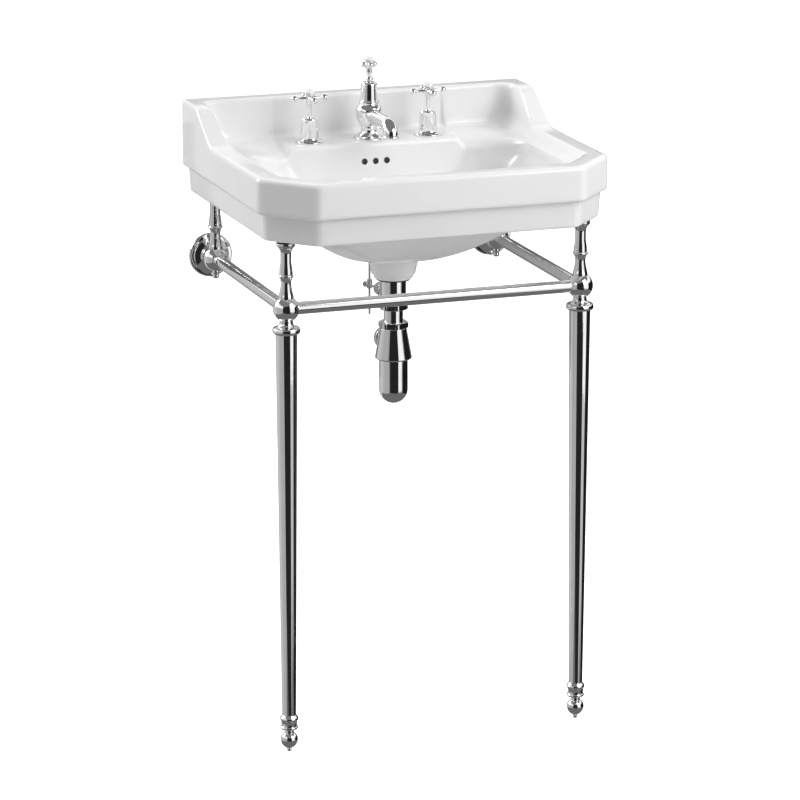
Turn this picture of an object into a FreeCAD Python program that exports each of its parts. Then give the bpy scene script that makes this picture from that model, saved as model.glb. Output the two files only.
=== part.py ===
import FreeCAD, Part
import math
import os

V = FreeCAD.Vector

# Basin casting. The wall is at the largest y, the front faces negative y, the floor is z = 0.
basin_width = 560.0
basin_depth = 470.0
corner_cut_x = 68.0
corner_cut_y = 75.0
corner_round = 22.0
upper_band = 54.0
lower_band = 42.0
band_step = 9.5
band_draft = 2.5
edge_round = 8.0
skirt_wall = 16.0
back_wall = 18.0
ceramic_wall = 12.0

# Upstand against the wall and the wings that run down to the rim
upstand_height = 50.0
upstand_thickness = 34.0
wing_thickness = 29.0
wing_top_run = 80.0
wing_slope_run = 73.0
wing_foot_round = 40.0
wing_top_round = 24.0
inner_corner_round = 26.0
panel_half_width = 140.0
panel_recess = 4.0
panel_bevel = 10.0

# Rim, tap ledge and soap slopes
rim_width = 34.0
rim_slope_run = 17.0
deck_drop = 14.0
deck_thickness = 17.0
corner_deck_thickness = 36.0
ledge_half_width = 140.0
soap_drop = 10.5
soap_run = 82.0
soap_runout = 66.0

# Bowl: its opening at the deck, and how it closes towards the waste
bowl_half_width = 222.0
bowl_front_gap = 61.0
bowl_back_gap = 118.0
bowl_corner_cut = 52.0
bowl_corner_round = 27.0
bowl_rear_cut_x = 77.0
bowl_rear_cut_y = 42.0
bowl_rear_round = 40.0
bowl_valley_round = 18.0
bowl_depth = 152.0
bowl_fullness = 3.0
bowl_floor_fall = 0.66
bowl_floor_bend = 1.4
sump_half_width = 37.0
waste_back_gap = 203.0
waste_hole_radius = 22.5
boss_top_radius = 40.0
boss_bottom_radius = 33.4
boss_drop = 34.7
boss_lip_radius = 31.0
boss_lip_height = 5.8
overflow_radius = 5.0
overflow_pitch = 18.3
overflow_drop = 30.0
overflow_depth = 7.0
wall_bolt_pitch = 280.0
wall_bolt_radius = 7.0
wall_bolt_drop = 62.0

# Stand
leg_spread = 236.0
leg_front_gap = 76.0
rear_wall_gap = 30.0
ball_radius = 20.0
ball_socket_start = 12.0
rail_radius = 9.5
rail_wall = 1.5
leg_length = 602.0
leg_top_radius = 16.4
leg_bottom_radius = 10.8
leg_wall = 2.4
collar_radius = 21.3
collar_height = 37.0
collar_spigot_radius = 13.0
collar_spigot_length = 25.0
stud_radius = 5.0
stud_reach = 12.0
ferrule_height = 23.0
ferrule_radius = 14.2
ferrule_spigot_radius = 7.4
ferrule_spigot_length = 26.0
foot_height = 36.0
foot_bulb_radius = 13.4
foot_neck_radius = 7.2
foot_stud_radius = 4.0
foot_lift = 4.0
foot_tip_radius = 2.4
pillar_height = 95.5
pillar_cap_radius = 13.8
pillar_ring_radius = 11.7
pillar_waist_radius = 7.7
pillar_shaft_radius = 8.2
pad_radius = 13.4
pad_thickness = 10.0
landing_radius = 25.0
flange_radius = 35.0
flange_step_radius = 27.5
flange_depth = 9.6
hub_radius = 18.0
hub_stud_radius = 6.0
flange_screw_circle = 62.0
flange_screw_radius = 2.2
finial_radius = 4.8
finial_length = 12.0

# Taps and spout
tap_spread = 98.0
tap_wall_gap = 88.0
tap_hole_radius = 12.0
tail_radius = 10.9
tail_length = 78.0
tail_bore_radius = 6.6
inlet_radius = 10.4
inlet_length = 15.0
nipple_radius = 6.2
nipple_length = 22.0
nipple_rise = 22.0
shoulder_radius = 13.0
shoulder_height = 4.0
washer_radius = 16.5
washer_thickness = 4.0
nut_flats = 27.0
nut_height = 8.5
shroud_flange_radius = 22.7
shroud_bottom_radius = 14.3
shroud_top_radius = 12.9
shroud_height = 39.6
shroud_wall = 1.6
valve_height = 34.0
gland_radius = 7.0
spindle_radius = 3.9
spindle_top = 67.0
handle_height = 70.0
handle_reach = 24.5
handle_arm_radius = 2.5
handle_ball_radius = 5.0
handle_hub_radius = 6.8
handle_seat_rise = 6.5
button_radius = 8.0
button_height = 8.3
spout_flange_radius = 24.4
spout_waist_radius = 12.7
spout_bulge_radius = 20.9
spout_ring_radius = 16.0
spout_height = 59.6
spout_reach = 105.0
spout_arm_rise = 38.0
spout_arm_radius = 11.6
spout_mouth_rise = 21.0
spout_mouth_bore = 8.6
spout_mouth_depth = 13.0
bonnet_bottom_radius = 14.1
bonnet_top_radius = 12.2
bonnet_height = 30.6
guide_radius = 5.9
guide_height = 8.2
knob_stem_radius = 3.9
knob_height = 25.0
knob_radius = 12.7
knob_lobe_radius = 4.6
lift_button_radius = 8.0
lift_button_height = 6.0
lift_rod_radius = 1.7
lift_rod_below = 55.5

# Pop-up waste and bottle trap
waste_tube_radius = 17.5
waste_tube_wall = 2.0
waste_tube_length = 66.5
waste_flange_radius = 32.0
waste_flange_height = 3.5
seal_radius = 27.0
seal_thickness = 2.5
waste_body_radius = 20.0
waste_body_height = 36.2
waste_throat_radius = 15.0
port_radius = 8.4
port_bore_radius = 7.0
port_length = 54.0
port_drop = 26.8
pivot_nut_radius = 10.6
pivot_nut_length = 15.0
pivot_ball_radius = 4.8
pivot_rod_radius = 1.9
pivot_rest_tilt = -5.6
knob_lift = 12.0
plug_radius = 21.0
plug_height = 7.0
plug_stem_radius = 5.0
plug_seat = 2.8
joint_radius = 4.2
joint_height = 14.0
waste_nut_flats = 41.0
waste_nut_height = 11.5
dip_tube_radius = 15.2
dip_tube_wall = 1.5
dip_tube_length = 110.0
trap_drop = 31.1
trap_nut_flats = 42.5
trap_nut_height = 10.0
cup_top_radius = 20.6
cup_bottom_radius = 29.1
cup_height = 49.5
cup_wall = 3.0
bottle_radius = 22.6
bottle_wall = 2.0
bottle_length = 80.0
bottle_overlap = 8.0
outlet_drop = 24.5
outlet_radius = 17.4
outlet_reach = 37.0
outlet_bore_radius = 16.2
outlet_seat_depth = 15.0
outlet_throat_radius = 14.0
outlet_nut_radius = 19.4
outlet_nut_length = 10.0

# Clearances: a snug seat, a running fit, and free room around rods
seat_gap = 0.05
run_gap = 0.08
free_gap = 1.2

# Heights worked up from the floor
leg_bottom_z = foot_height + ferrule_height
leg_top_z = leg_bottom_z + leg_length
rail_z = leg_top_z + collar_height
pad_z = rail_z + pillar_height
apron_z = pad_z + pad_thickness
step_z = apron_z + lower_band
rim_z = step_z + upper_band
upstand_z = rim_z + upstand_height
deck_z = rim_z - deck_drop
ledge_under_z = deck_z - deck_thickness
sump_z = deck_z - bowl_depth
boss_top_z = sump_z - ceramic_wall
boss_z = boss_top_z - boss_drop

# Places in plan
wall_y = basin_depth / 2
front_y = -basin_depth / 2
leg_y = front_y + leg_front_gap
rear_y = wall_y - rear_wall_gap
tap_y = wall_y - tap_wall_gap
waste_y = wall_y - waste_back_gap
bowl_back_y = wall_y - bowl_back_gap
bowl_front_y = front_y + bowl_front_gap
apron_inset = band_step + band_draft

# Pop-up linkage: the port turns towards the joint's eye beside the lift rod
joint_offset = lift_rod_radius + pivot_rod_radius + free_gap + 1.6
port_turn = math.degrees(math.atan(joint_offset / (tap_y - waste_y)))
rod_reach = math.hypot(joint_offset, tap_y - waste_y) - port_length
rest_slope = math.tan(math.radians(pivot_rest_tilt))
plug_lift = knob_lift * port_length / rod_reach

# Heights of the waste and trap, worked down from the boss
seal_z = boss_z - seal_thickness
body_bottom_z = seal_z - waste_body_height
port_z = seal_z - port_drop
plug_z = sump_z + plug_seat + plug_lift
trap_z = body_bottom_z - trap_drop
cup_top_z = trap_z - trap_nut_height
cup_bottom_z = cup_top_z - cup_height
outlet_z = cup_top_z - outlet_drop


def vec(x, z):
    return V(x, 0, z)


def bend(first, middle, last):
    """Arc through three points, or a spline where the arc's centre would lie beyond the axis."""
    points = [vec(*first), vec(*middle), vec(*last)]
    arc = Part.Arc(*points).toShape()
    if arc.Curve.Center.x > 0:
        return arc
    curve = Part.BSplineCurve()
    curve.interpolate(points)
    return curve.toShape()


def profile(start, *steps):
    """Closed face in the XZ plane: a pair is a line's end, four numbers a bend's middle and end."""
    edges = []
    here = start
    for step in steps + (start,):
        end = step[-2:]
        if len(step) == 4:
            edges.append(bend(here, step[:2], end))
        else:
            edges.append(Part.LineSegment(vec(*here), vec(*end)).toShape())
        here = end
    return Part.Face(Part.Wire(edges))


def turned(start, *steps):
    """Solid of revolution about the Z axis from a profile of radius and height."""
    return profile(start, *steps).revolve(V(0, 0, 0), V(0, 0, 1), 360)


def rod(radius, low, high, x=0.0, y=0.0):
    return Part.makeCylinder(radius, high - low, V(x, y, low))


def rod_y(radius, low, high, x, z):
    return Part.makeCylinder(radius, high - low, V(x, low, z), V(0, 1, 0))


def rod_x(radius, low, high, y, z):
    return Part.makeCylinder(radius, high - low, V(low, y, z), V(1, 0, 0))


def box(x0, x1, y0, y1, z0, z1):
    return Part.makeBox(x1 - x0, y1 - y0, z1 - z0, V(x0, y0, z0))


def at(shape, x, y, z):
    return shape.translated(V(x, y, z))


def rounded_wire(points, radii):
    """Closed wire through the points, each corner an arc of its radius."""
    count = len(points)
    tangents = []
    for i, (corner, radius) in enumerate(zip(points, radii)):
        before = (points[i - 1] - corner).normalize()
        after = (points[(i + 1) % count] - corner).normalize()
        half = before.getAngle(after) / 2
        middle = (before + after).normalize()
        cut = radius / math.tan(half)
        centre = corner + middle * (radius / math.sin(half))
        tangents.append((corner + before * cut, centre - middle * radius, corner + after * cut))
    edges = []
    for i, (first, middle, last) in enumerate(tangents):
        edges.append(Part.Arc(first, middle, last).toShape())
        edges.append(Part.LineSegment(last, tangents[(i + 1) % count][0]).toShape())
    return Part.Wire(edges)


def outline(inset, z, back_y, back_round):
    """Basin outline in plan, drawn in by inset on its sides, front and cut corners."""
    side = basin_width / 2 - inset
    front = front_y + inset
    slant = math.hypot(corner_cut_x, corner_cut_y)
    nx = corner_cut_y / slant
    ny = -corner_cut_x / slant
    line = nx * basin_width / 2 + ny * (front_y + corner_cut_y) - inset
    cut_side_y = (line - nx * side) / ny
    cut_front_x = (line - ny * front) / nx
    points = [V(-side, back_y, z), V(-side, cut_side_y, z), V(-cut_front_x, front, z),
              V(cut_front_x, front, z), V(side, cut_side_y, z), V(side, back_y, z)]
    radii = [back_round] + [corner_round] * 4 + [back_round]
    return rounded_wire(points, radii)


def bowl_wire(share, drop, grow):
    """Section of the bowl: share runs from 0 at the opening to 1 at the sump."""
    half = bowl_half_width + (sump_half_width - bowl_half_width) * share + grow
    front = bowl_front_y + (waste_y - sump_half_width - bowl_front_y) * share - grow
    back = bowl_back_y + (waste_y + sump_half_width - bowl_back_y) * share + grow
    shrink = 1 - 0.55 * share
    cut = bowl_corner_cut * shrink
    rear_shrink = 1 - 0.8 * share
    rear_x = bowl_rear_cut_x * rear_shrink
    rear_y = bowl_rear_cut_y * rear_shrink
    z = deck_z - drop
    points = [V(-half + rear_x, back, z), V(-half, back - rear_y, z), V(-half, front + cut, z),
              V(-half + cut, front, z), V(half - cut, front, z), V(half, front + cut, z),
              V(half, back - rear_y, z), V(half - rear_x, back, z)]
    radii = [bowl_valley_round, bowl_rear_round] + [bowl_corner_round] * 4
    radii += [bowl_rear_round, bowl_valley_round]
    return rounded_wire(points, [radius * shrink for radius in radii])


def bowl_fall(share):
    """Depth reached at a share of the way in: a superellipse wall that runs out into a falling floor."""
    wall = (1 - (1 - share) ** bowl_fullness) ** (1 / bowl_fullness)
    floor = 1 - (1 - share) ** bowl_floor_bend
    return bowl_depth * ((1 - bowl_floor_fall) * wall + bowl_floor_fall * floor)


def bowl_solid(grow, lowered):
    """Bowl form, grown outwards and lowered to make the casting around it."""
    shares = (0.0, 0.012, 0.045, 0.11, 0.22, 0.38, 0.58, 0.8, 1.0)
    wires = [bowl_wire(share, bowl_fall(share) + lowered, grow) for share in shares]
    return Part.makeLoft(wires, True, False)


def upper_casting():
    """Upper band, rim, wings and upstand: the outline raised and cut by the side profile."""
    block = Part.Face(outline(0, step_z, wall_y, edge_round / 4)).extrude(V(0, 0, upstand_z - step_z))
    far = basin_width
    top_y = wall_y - wing_top_run
    foot_y = top_y - wing_slope_run
    points = [V(-far, -far, rim_z), V(-far, foot_y, rim_z), V(-far, top_y, upstand_z),
              V(-far, wall_y + far, upstand_z), V(-far, wall_y + far, upstand_z + far),
              V(-far, -far, upstand_z + far)]
    small = edge_round / 4
    above = Part.Face(rounded_wire(points, [small, wing_foot_round, wing_top_round, small, small, small]))
    block = block.cut(above.extrude(V(2 * far, 0, 0)))
    edges = []
    for edge in block.Edges:
        box_ = edge.BoundBox
        level = box_.ZMin > step_z + upper_band / 2
        outer = box_.YMin < wall_y - edge_round
        upright = box_.ZLength > upper_band / 2 and box_.YLength + box_.XLength < 1
        if level and outer and not upright:
            edges.append(edge)
    return block.makeFillet(edge_round, edges)


def deck_cut():
    """Room inside the rim, wings and upstand, down to the tap deck, with sloping sides."""
    face_y = wall_y - upstand_thickness
    levels = [(deck_z, rim_width + rim_slope_run, face_y - panel_recess / 2),
              (rim_z, rim_width, face_y),
              (upstand_z + edge_round, wing_thickness - 3, face_y + panel_recess)]
    wires = [outline(inset, z, back, inner_corner_round) for z, inset, back in levels]
    return Part.makeLoft(wires, True, True)


def panel_cut():
    """Shallow recess of the upstand's middle panel, with bevelled ends."""
    face_y = wall_y - upstand_thickness - panel_recess
    outer = panel_half_width + panel_bevel
    back = wall_y - upstand_thickness + panel_recess
    points = [V(-outer, face_y, deck_z), V(outer, face_y, deck_z), V(panel_half_width, back, deck_z),
              V(-panel_half_width, back, deck_z)]
    return Part.Face(Part.makePolygon(points + points[:1])).extrude(V(0, 0, upstand_z))


def soap_cut(side):
    """Slope beside the ledge that falls from the upstand to the bowl's cut corner and runs out in front."""
    start_y = wall_y - upstand_thickness - inner_corner_round / 2
    end_y = start_y - soap_run
    x0 = ledge_half_width
    x1 = basin_width / 2 - rim_width - rim_slope_run
    front = end_y - soap_runout
    points = [V(x0, start_y, deck_z), V(x0, end_y, deck_z - soap_drop), V(x0, front, deck_z),
              V(x0, front, rim_z), V(x0, start_y, rim_z)]
    wedge = Part.Face(Part.makePolygon(points + points[:1])).extrude(V(x1 - x0, 0, 0))
    return wedge if side > 0 else wedge.mirror(V(0, 0, 0), V(1, 0, 0))


def basin():
    lower = Part.makeLoft([outline(apron_inset, apron_z, wall_y, edge_round / 4),
                           outline(band_step, step_z, wall_y, edge_round / 4)], True, True)
    body = upper_casting().fuse(lower)
    pocket_inset = apron_inset + skirt_wall
    pocket_wire = outline(pocket_inset, apron_z, wall_y - back_wall, inner_corner_round)
    pocket = Part.Face(pocket_wire).extrude(V(0, 0, deck_z - corner_deck_thickness - apron_z))
    under_ledge = box(-ledge_half_width + ceramic_wall, ledge_half_width - ceramic_wall,
                      bowl_back_y, wall_y - back_wall, apron_z, ledge_under_z)
    body = body.cut(pocket.fuse(under_ledge))
    landings = [rod(landing_radius, apron_z, deck_z - deck_thickness, sign * leg_spread, y)
                for sign in (-1, 1) for y in (leg_y, rear_y)]
    inside = Part.Face(outline(apron_inset, apron_z, wall_y, edge_round / 4)).extrude(V(0, 0, upper_band))
    landings = [landing.common(inside) for landing in landings]
    pillar_room = [rod(pad_radius + free_gap, rail_z + ball_radius, apron_z, sign * leg_spread, y)
                   for sign in (-1, 1) for y in (leg_y, rear_y)]
    boss_rise = boss_drop + ceramic_wall
    boss = at(turned((0, 0), (boss_lip_radius - 1, 0), (boss_lip_radius, boss_lip_height),
                     (boss_bottom_radius, boss_lip_height + 1), (boss_top_radius, boss_drop),
                     (boss_top_radius, boss_rise), (0, boss_rise)),
              0, waste_y, boss_z)
    shell = bowl_solid(ceramic_wall, ceramic_wall)
    body = body.fuse([shell, boss] + landings)
    body = body.cut([deck_cut(), bowl_solid(0, 0), panel_cut(), soap_cut(-1), soap_cut(1)])
    holes = [rod(waste_hole_radius, boss_z - 1, deck_z, 0, waste_y)]
    for x in (-tap_spread, 0, tap_spread):
        holes.append(rod(tap_hole_radius, apron_z, rim_z, x, tap_y))
    overflow_y = bowl_back_y + overflow_depth
    for x in (-overflow_pitch, 0, overflow_pitch):
        holes.append(rod_y(overflow_radius, waste_y, overflow_y, x, deck_z - overflow_drop))
    for x in (-wall_bolt_pitch / 2, wall_bolt_pitch / 2):
        holes.append(rod_y(wall_bolt_radius, wall_y - 2 * back_wall, wall_y + 1, x, rim_z - wall_bolt_drop))
    seat = rod(waste_flange_radius + free_gap, sump_z, deck_z, 0, waste_y)
    return body.cut(holes + [seat] + pillar_room).removeSplitter()


def ball(sockets, studs):
    """Ball joint at the origin; sockets and studs are axes with the radius and start of each hole."""
    solid = Part.makeSphere(ball_radius)
    holes = []
    for axis, radius in sockets:
        holes.append(Part.makeCylinder(radius + seat_gap, ball_radius, axis * ball_socket_start, axis))
    for axis, radius in studs:
        start = ball_radius - stud_reach
        holes.append(Part.makeCylinder(radius + seat_gap, ball_radius, axis * start, axis))
    return solid.cut(holes)


def ball_seat():
    """The ball with a snug gap, to hollow the pieces that sit against it."""
    return Part.makeSphere(ball_radius + seat_gap)


def ball_stud(radius, direction):
    """Stud that reaches from outside the ball to the end of its hole."""
    start = ball_radius - stud_reach + seat_gap
    return Part.makeCylinder(radius, stud_reach + 1, direction * start, direction)


def leg():
    """Tapered leg tube standing on z = 0, bored for the collar's spigot and the ferrule's."""
    outer = turned((0, 0), (leg_bottom_radius, 0), (leg_top_radius, leg_length), (0, leg_length))
    low = ferrule_spigot_length + 1
    high = leg_length - collar_spigot_length - 1
    bore = turned((0, 0), (ferrule_spigot_radius + seat_gap, 0), (ferrule_spigot_radius + seat_gap, low),
                  (leg_bottom_radius - leg_wall, low), (collar_spigot_radius, high),
                  (collar_spigot_radius + seat_gap, leg_length), (0, leg_length))
    return outer.cut(bore)


def leg_collar():
    """Turned collar between the leg, at z = 0, and the ball above it."""
    neck = 0.51 * ball_radius
    rise = collar_height - ball_radius
    edge = 0.24 * collar_height
    body = turned((0, -collar_spigot_length), (collar_spigot_radius, -collar_spigot_length),
                  (collar_spigot_radius, 0), (collar_radius - 1.6, 0),
                  (collar_radius, edge / 2, collar_radius - 1.6, edge),
                  (neck + 2.2, edge + 0.35 * (rise - edge), neck, rise), (neck, rise + neck / 2),
                  (0, rise + neck / 2))
    above = V(0, 0, collar_height)
    return body.cut(ball_seat().translated(above)).fuse(ball_stud(stud_radius, V(0, 0, -1)).translated(above))


def leg_ferrule():
    """Ferrule under the leg: z = 0 is its lower edge, with a recess for the foot's neck."""
    height = ferrule_height
    body = turned((0, 0), (ferrule_radius - 2.6, 0), (ferrule_radius - 0.6, 2.6, ferrule_radius - 2.2, 5.2),
                  (ferrule_radius - 1.9, 13), (ferrule_radius - 1.2, 14),
                  (ferrule_radius, 17, ferrule_radius - 1.2, 20), (ferrule_radius - 3, height),
                  (ferrule_spigot_radius, height), (ferrule_spigot_radius, height + ferrule_spigot_length),
                  (0, height + ferrule_spigot_length))
    recess = rod(foot_neck_radius + free_gap / 2, -1, foot_lift + 3)
    thread = rod(foot_stud_radius + run_gap, 0, height + ferrule_spigot_length + 1)
    return body.cut([recess, thread])


def foot():
    """Bulb foot on its screwed stud, standing on z = 0."""
    neck = foot_height + 1.5
    top = neck + ferrule_height + 5
    waist = 0.82 * foot_height
    bulb = foot_bulb_radius
    return turned((0, 0), (foot_tip_radius, 0), (foot_tip_radius + 1.1, 2.6, foot_tip_radius + 0.4, 5),
                  (bulb - 3.2, 10.4, bulb, 0.53 * foot_height),
                  (bulb - 2, 0.72 * foot_height, foot_neck_radius, waist),
                  (foot_neck_radius, neck), (foot_stud_radius, neck), (foot_stud_radius, top), (0, top))


def pillar():
    """Turned pillar from the ball's centre, z = 0, up to its cap."""
    base = 0.57 * ball_radius
    top = pillar_height
    ring = 0.535 * top
    body = turned((0, base), (base, base), (base, ball_radius),
                  (pillar_waist_radius + 1, 0.33 * top, pillar_waist_radius, 0.4 * top),
                  (pillar_waist_radius + 0.5, 0.455 * top, pillar_ring_radius - 2, ring - 3),
                  (pillar_ring_radius - 1.6, ring - 2.2),
                  (pillar_ring_radius, ring, pillar_ring_radius - 1.6, ring + 2.2),
                  (pillar_ring_radius - 1.5, ring + 3),
                  (pillar_shaft_radius + 1.6, 0.63 * top, pillar_shaft_radius, 0.74 * top),
                  (pillar_shaft_radius, 0.885 * top),
                  (pillar_shaft_radius + 0.9, 0.922 * top, pillar_cap_radius - 1.4, top - 5.6),
                  (pillar_cap_radius, top - 3, pillar_cap_radius - 1.2, top), (0, top))
    return body.cut(ball_seat()).fuse(ball_stud(stud_radius - 1, V(0, 0, 1)))


def pad():
    """Rubber buffer on a pillar's cap, from z = 0."""
    soft = 1.2
    return turned((0, 0), (pad_radius - soft, 0), (pad_radius, soft), (pad_radius, pad_thickness - soft),
                  (pad_radius - soft, pad_thickness), (0, pad_thickness))


def tube_x(length):
    pipe = rod_x(rail_radius, 0, length, 0, 0)
    return pipe.cut(rod_x(rail_radius - rail_wall, 0, length, 0, 0))


def wall_flange():
    """Wall rose with its stepped cone, hub and stud, axis along z with the wall at z = 0."""
    body = turned((0, 0), (flange_radius, 0), (flange_radius, 2.2),
                  (flange_radius - 0.7, 4.4, flange_radius - 2.5, 5.2), (flange_step_radius + 1.1, 5.6),
                  (flange_step_radius, 8), (hub_radius + 2, flange_depth), (hub_radius, flange_depth + 1),
                  (hub_radius, rear_wall_gap - 0.6 * ball_radius), (0, rear_wall_gap - 0.6 * ball_radius))
    body = body.cut(ball_seat().translated(V(0, 0, rear_wall_gap)))
    body = body.fuse(ball_stud(hub_stud_radius, V(0, 0, -1)).translated(V(0, 0, rear_wall_gap)))
    screws = []
    for turn in (30, 150, 270):
        angle = math.radians(turn)
        across = flange_screw_circle / 2 * math.cos(angle)
        up = flange_screw_circle / 2 * math.sin(angle)
        screws.append(rod(flange_screw_radius, -1, flange_depth, across, up))
    return body.cut(screws)


def against_wall(shape, x, z):
    """Turns an upright piece so that its axis leaves the wall towards the front."""
    return shape.rotated(V(0, 0, 0), V(1, 0, 0), 90).translated(V(x, wall_y, z))


def finial():
    """Small turned peg that closes the ball from below, hanging from the ball's centre."""
    low = -ball_radius - finial_length
    peg = finial_radius
    high = -0.8 * ball_radius
    body = turned((0, low), (peg - 1.6, low), (peg - 0.2, low + 1.4, peg, low + 4),
                  (peg, low + 8), (peg + 1, low + 9.5), (peg + 1, high), (0, high))
    return body.cut(ball_seat()).fuse(ball_stud(stud_radius - 1, V(0, 0, -1)))


def hexagon(flats, height, bore):
    """Hexagon nut from z = 0, its corners turned off, with a plain bore."""
    reach = flats / math.sqrt(3)
    angles = [math.radians(60 * i) for i in range(6)]
    points = [V(reach * math.cos(angle), reach * math.sin(angle), 0) for angle in angles]
    nut = Part.Face(Part.makePolygon(points + points[:1])).extrude(V(0, 0, height))
    bevel = 0.12 * height
    keep = turned((0, 0), (flats / 2, 0), (reach + 0.3, bevel), (reach + 0.3, height - bevel),
                  (flats / 2, height), (0, height))
    return nut.common(keep).cut(rod(bore, -1, height + 1))


def back_nut():
    return hexagon(nut_flats, nut_height, tail_radius + seat_gap)


def deck_washer():
    return rod(washer_radius, 0, washer_thickness).cut(rod(tail_radius + seat_gap, -1, washer_thickness + 1))


def shroud():
    """Bell cover of a valve with its foot flange on the deck."""
    low = shroud_bottom_radius
    top = shroud_top_radius
    height = shroud_height
    wall = shroud_wall
    eye = spindle_radius + free_gap
    return turned((shoulder_radius + seat_gap, 0), (shroud_flange_radius, 0), (shroud_flange_radius, 1.4),
                  (shroud_flange_radius - 0.8, 3.1, shroud_flange_radius - 3, 3.8),
                  (low + 1.5, 4.8, low, 7.5), (top, height - 3.4),
                  (top - 0.9, height - 0.9, top - 3.4, height),
                  (eye, height), (eye, height - wall), (top - 3.4, height - wall),
                  (top - wall, height - 3.4), (shoulder_radius + seat_gap, shoulder_height + seat_gap))


def valve(inward):
    """Valve body with gland and threaded tail, deck at z = 0, side outlet towards the spout."""
    inner = shroud_top_radius - shroud_wall - 2 * free_gap
    thread = inlet_length - tail_length
    low = -tail_length
    body = turned((0, low), (inlet_radius, low), (inlet_radius, thread), (tail_radius, thread),
                  (tail_radius, 0), (shoulder_radius, 0), (shoulder_radius, shoulder_height),
                  (inner, shoulder_height + 1), (inner, 0.75 * valve_height),
                  (gland_radius, 0.8 * valve_height), (gland_radius, valve_height), (0, valve_height))
    height = -tail_length + nipple_rise
    start = 0.6 * tail_radius
    nipple = rod_x(nipple_radius, start, tail_radius + nipple_length, 0, height)
    body = body.fuse(nipple if inward > 0 else nipple.mirror(V(0, 0, 0), V(1, 0, 0)))
    return body.cut([rod(spindle_radius + run_gap, 0.25 * valve_height, valve_height + 1),
                     rod(tail_bore_radius, -tail_length - 1, -2)])


def spindle():
    return rod(spindle_radius, 0.25 * valve_height + 0.5, spindle_top)


def cross_handle():
    """Cross handle on its spindle: a hub, four arms with ball ends, and a seat for the button."""
    mid = handle_height
    top = mid + handle_seat_rise
    hub = handle_hub_radius
    low = spindle_radius + 1.2
    body = turned((0, mid - 10), (low, mid - 10), (low + 0.3, mid - 7, hub, mid - 3.4),
                  (hub + 0.5, mid, hub, mid + 3.4), (button_radius + 0.4, top - 1.2),
                  (button_radius + 0.4, top), (0, top))
    for turn in range(4):
        direction = V(0, 0, 0)
        direction.x = math.cos(math.radians(90 * turn))
        direction.y = math.sin(math.radians(90 * turn))
        here = V(0, 0, mid)
        thick = handle_arm_radius + 0.9
        thin = handle_arm_radius - 0.6
        arm = Part.makeCone(thick, thin, handle_reach - hub / 2, here + direction * (hub / 2), direction)
        knob = Part.makeSphere(handle_ball_radius, here + direction * handle_reach)
        body = body.fuse([arm, knob])
    return body.cut(rod(spindle_radius + seat_gap, mid - 11, spindle_top + seat_gap))


def dome(radius, height):
    """Spherical cap from z = 0: the sphere's radius follows from the cap's radius and height."""
    sphere = (radius * radius + height * height) / (2 * height)
    return Part.makeSphere(sphere, V(0, 0, height - sphere)).common(rod(radius, 0, height + 1))


def button(radius, height):
    """Domed ceramic button from z = 0."""
    edge = 0.35 * height
    return rod(radius, 0, edge).fuse(at(dome(radius, height - edge), 0, 0, edge)).removeSplitter()


def spout():
    """Pear-shaped pillar with a level arm that turns down at its mouth; deck at z = 0."""
    top = spout_height
    bulge = 0.7 * top
    thread = inlet_length - tail_length
    low = -tail_length
    base = spout_flange_radius
    body = turned((0, low), (inlet_radius, low), (inlet_radius, thread), (tail_radius, thread),
                  (tail_radius, 0), (base, 0), (base, 1.6), (base - 0.8, 3.2, base - 3, 3.8),
                  (spout_waist_radius + 2.4, 8.5, spout_waist_radius, 0.3 * top),
                  (spout_waist_radius + 4.6, 0.46 * top, spout_bulge_radius, bulge),
                  (spout_bulge_radius - 1.6, 0.835 * top, spout_ring_radius - 1.2, top - 4.6),
                  (spout_ring_radius, top - 2.3, spout_ring_radius - 1, top), (0, top))
    bend = spout_arm_rise - spout_mouth_rise
    corner_y = -spout_reach + bend
    start = V(0, 0, spout_arm_rise)
    turn = V(0, corner_y, spout_arm_rise)
    lean = bend * math.sin(math.pi / 4)
    middle = V(0, corner_y - lean, spout_mouth_rise + lean)
    mouth = V(0, -spout_reach, spout_mouth_rise)
    path = Part.Wire([Part.LineSegment(start, turn).toShape(), Part.Arc(turn, middle, mouth).toShape()])
    arm = path.makePipe(Part.Face(Part.Wire(Part.makeCircle(spout_arm_radius, start, V(0, -1, 0)))))
    edge = spout_arm_radius + 0.6
    lip = turned((0, 0), (edge, 0), (edge + 0.6, 1), (edge + 0.6, 3.4), (edge, 4.4), (0, 4.4))
    body = body.fuse([arm, at(lip, 0, -spout_reach, spout_mouth_rise - 2)])
    side = tail_radius + nipple_length
    body = body.fuse(rod_x(nipple_radius, -side, side, 0, -tail_length + nipple_rise))
    mouth_top = spout_mouth_rise - 2 + spout_mouth_depth
    bores = [rod(lift_rod_radius + run_gap, -tail_length - 1, top + 1),
             rod(spout_mouth_bore, spout_mouth_rise - 3, mouth_top, 0, -spout_reach)]
    return body.cut(bores)


def spout_outlet():
    """Ring of the flow straightener inside the spout's mouth, from its lower edge z = 0."""
    outer = spout_mouth_bore - seat_gap
    ring = rod(outer, 0, 0.7 * spout_mouth_depth).cut(rod(outer - 1.6, -1, spout_mouth_depth))
    cross = [box(-outer + 1, outer - 1, -0.5, 0.5, 2, 0.7 * spout_mouth_depth),
             box(-0.5, 0.5, -outer + 1, outer - 1, 2, 0.7 * spout_mouth_depth)]
    return ring.fuse(cross)


def bonnet():
    """Cylindrical cover above the spout's ring, from z = 0."""
    height = bonnet_height
    eye = lift_rod_radius + free_gap
    low = bonnet_bottom_radius
    top = bonnet_top_radius
    return turned((eye, 0), (low, 0), (low, 1.2), (low - 1, 2.4), (top, height - 5),
                  (top - 1.3, height - 1.5, top - 4.4, height), (eye, height))


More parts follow.
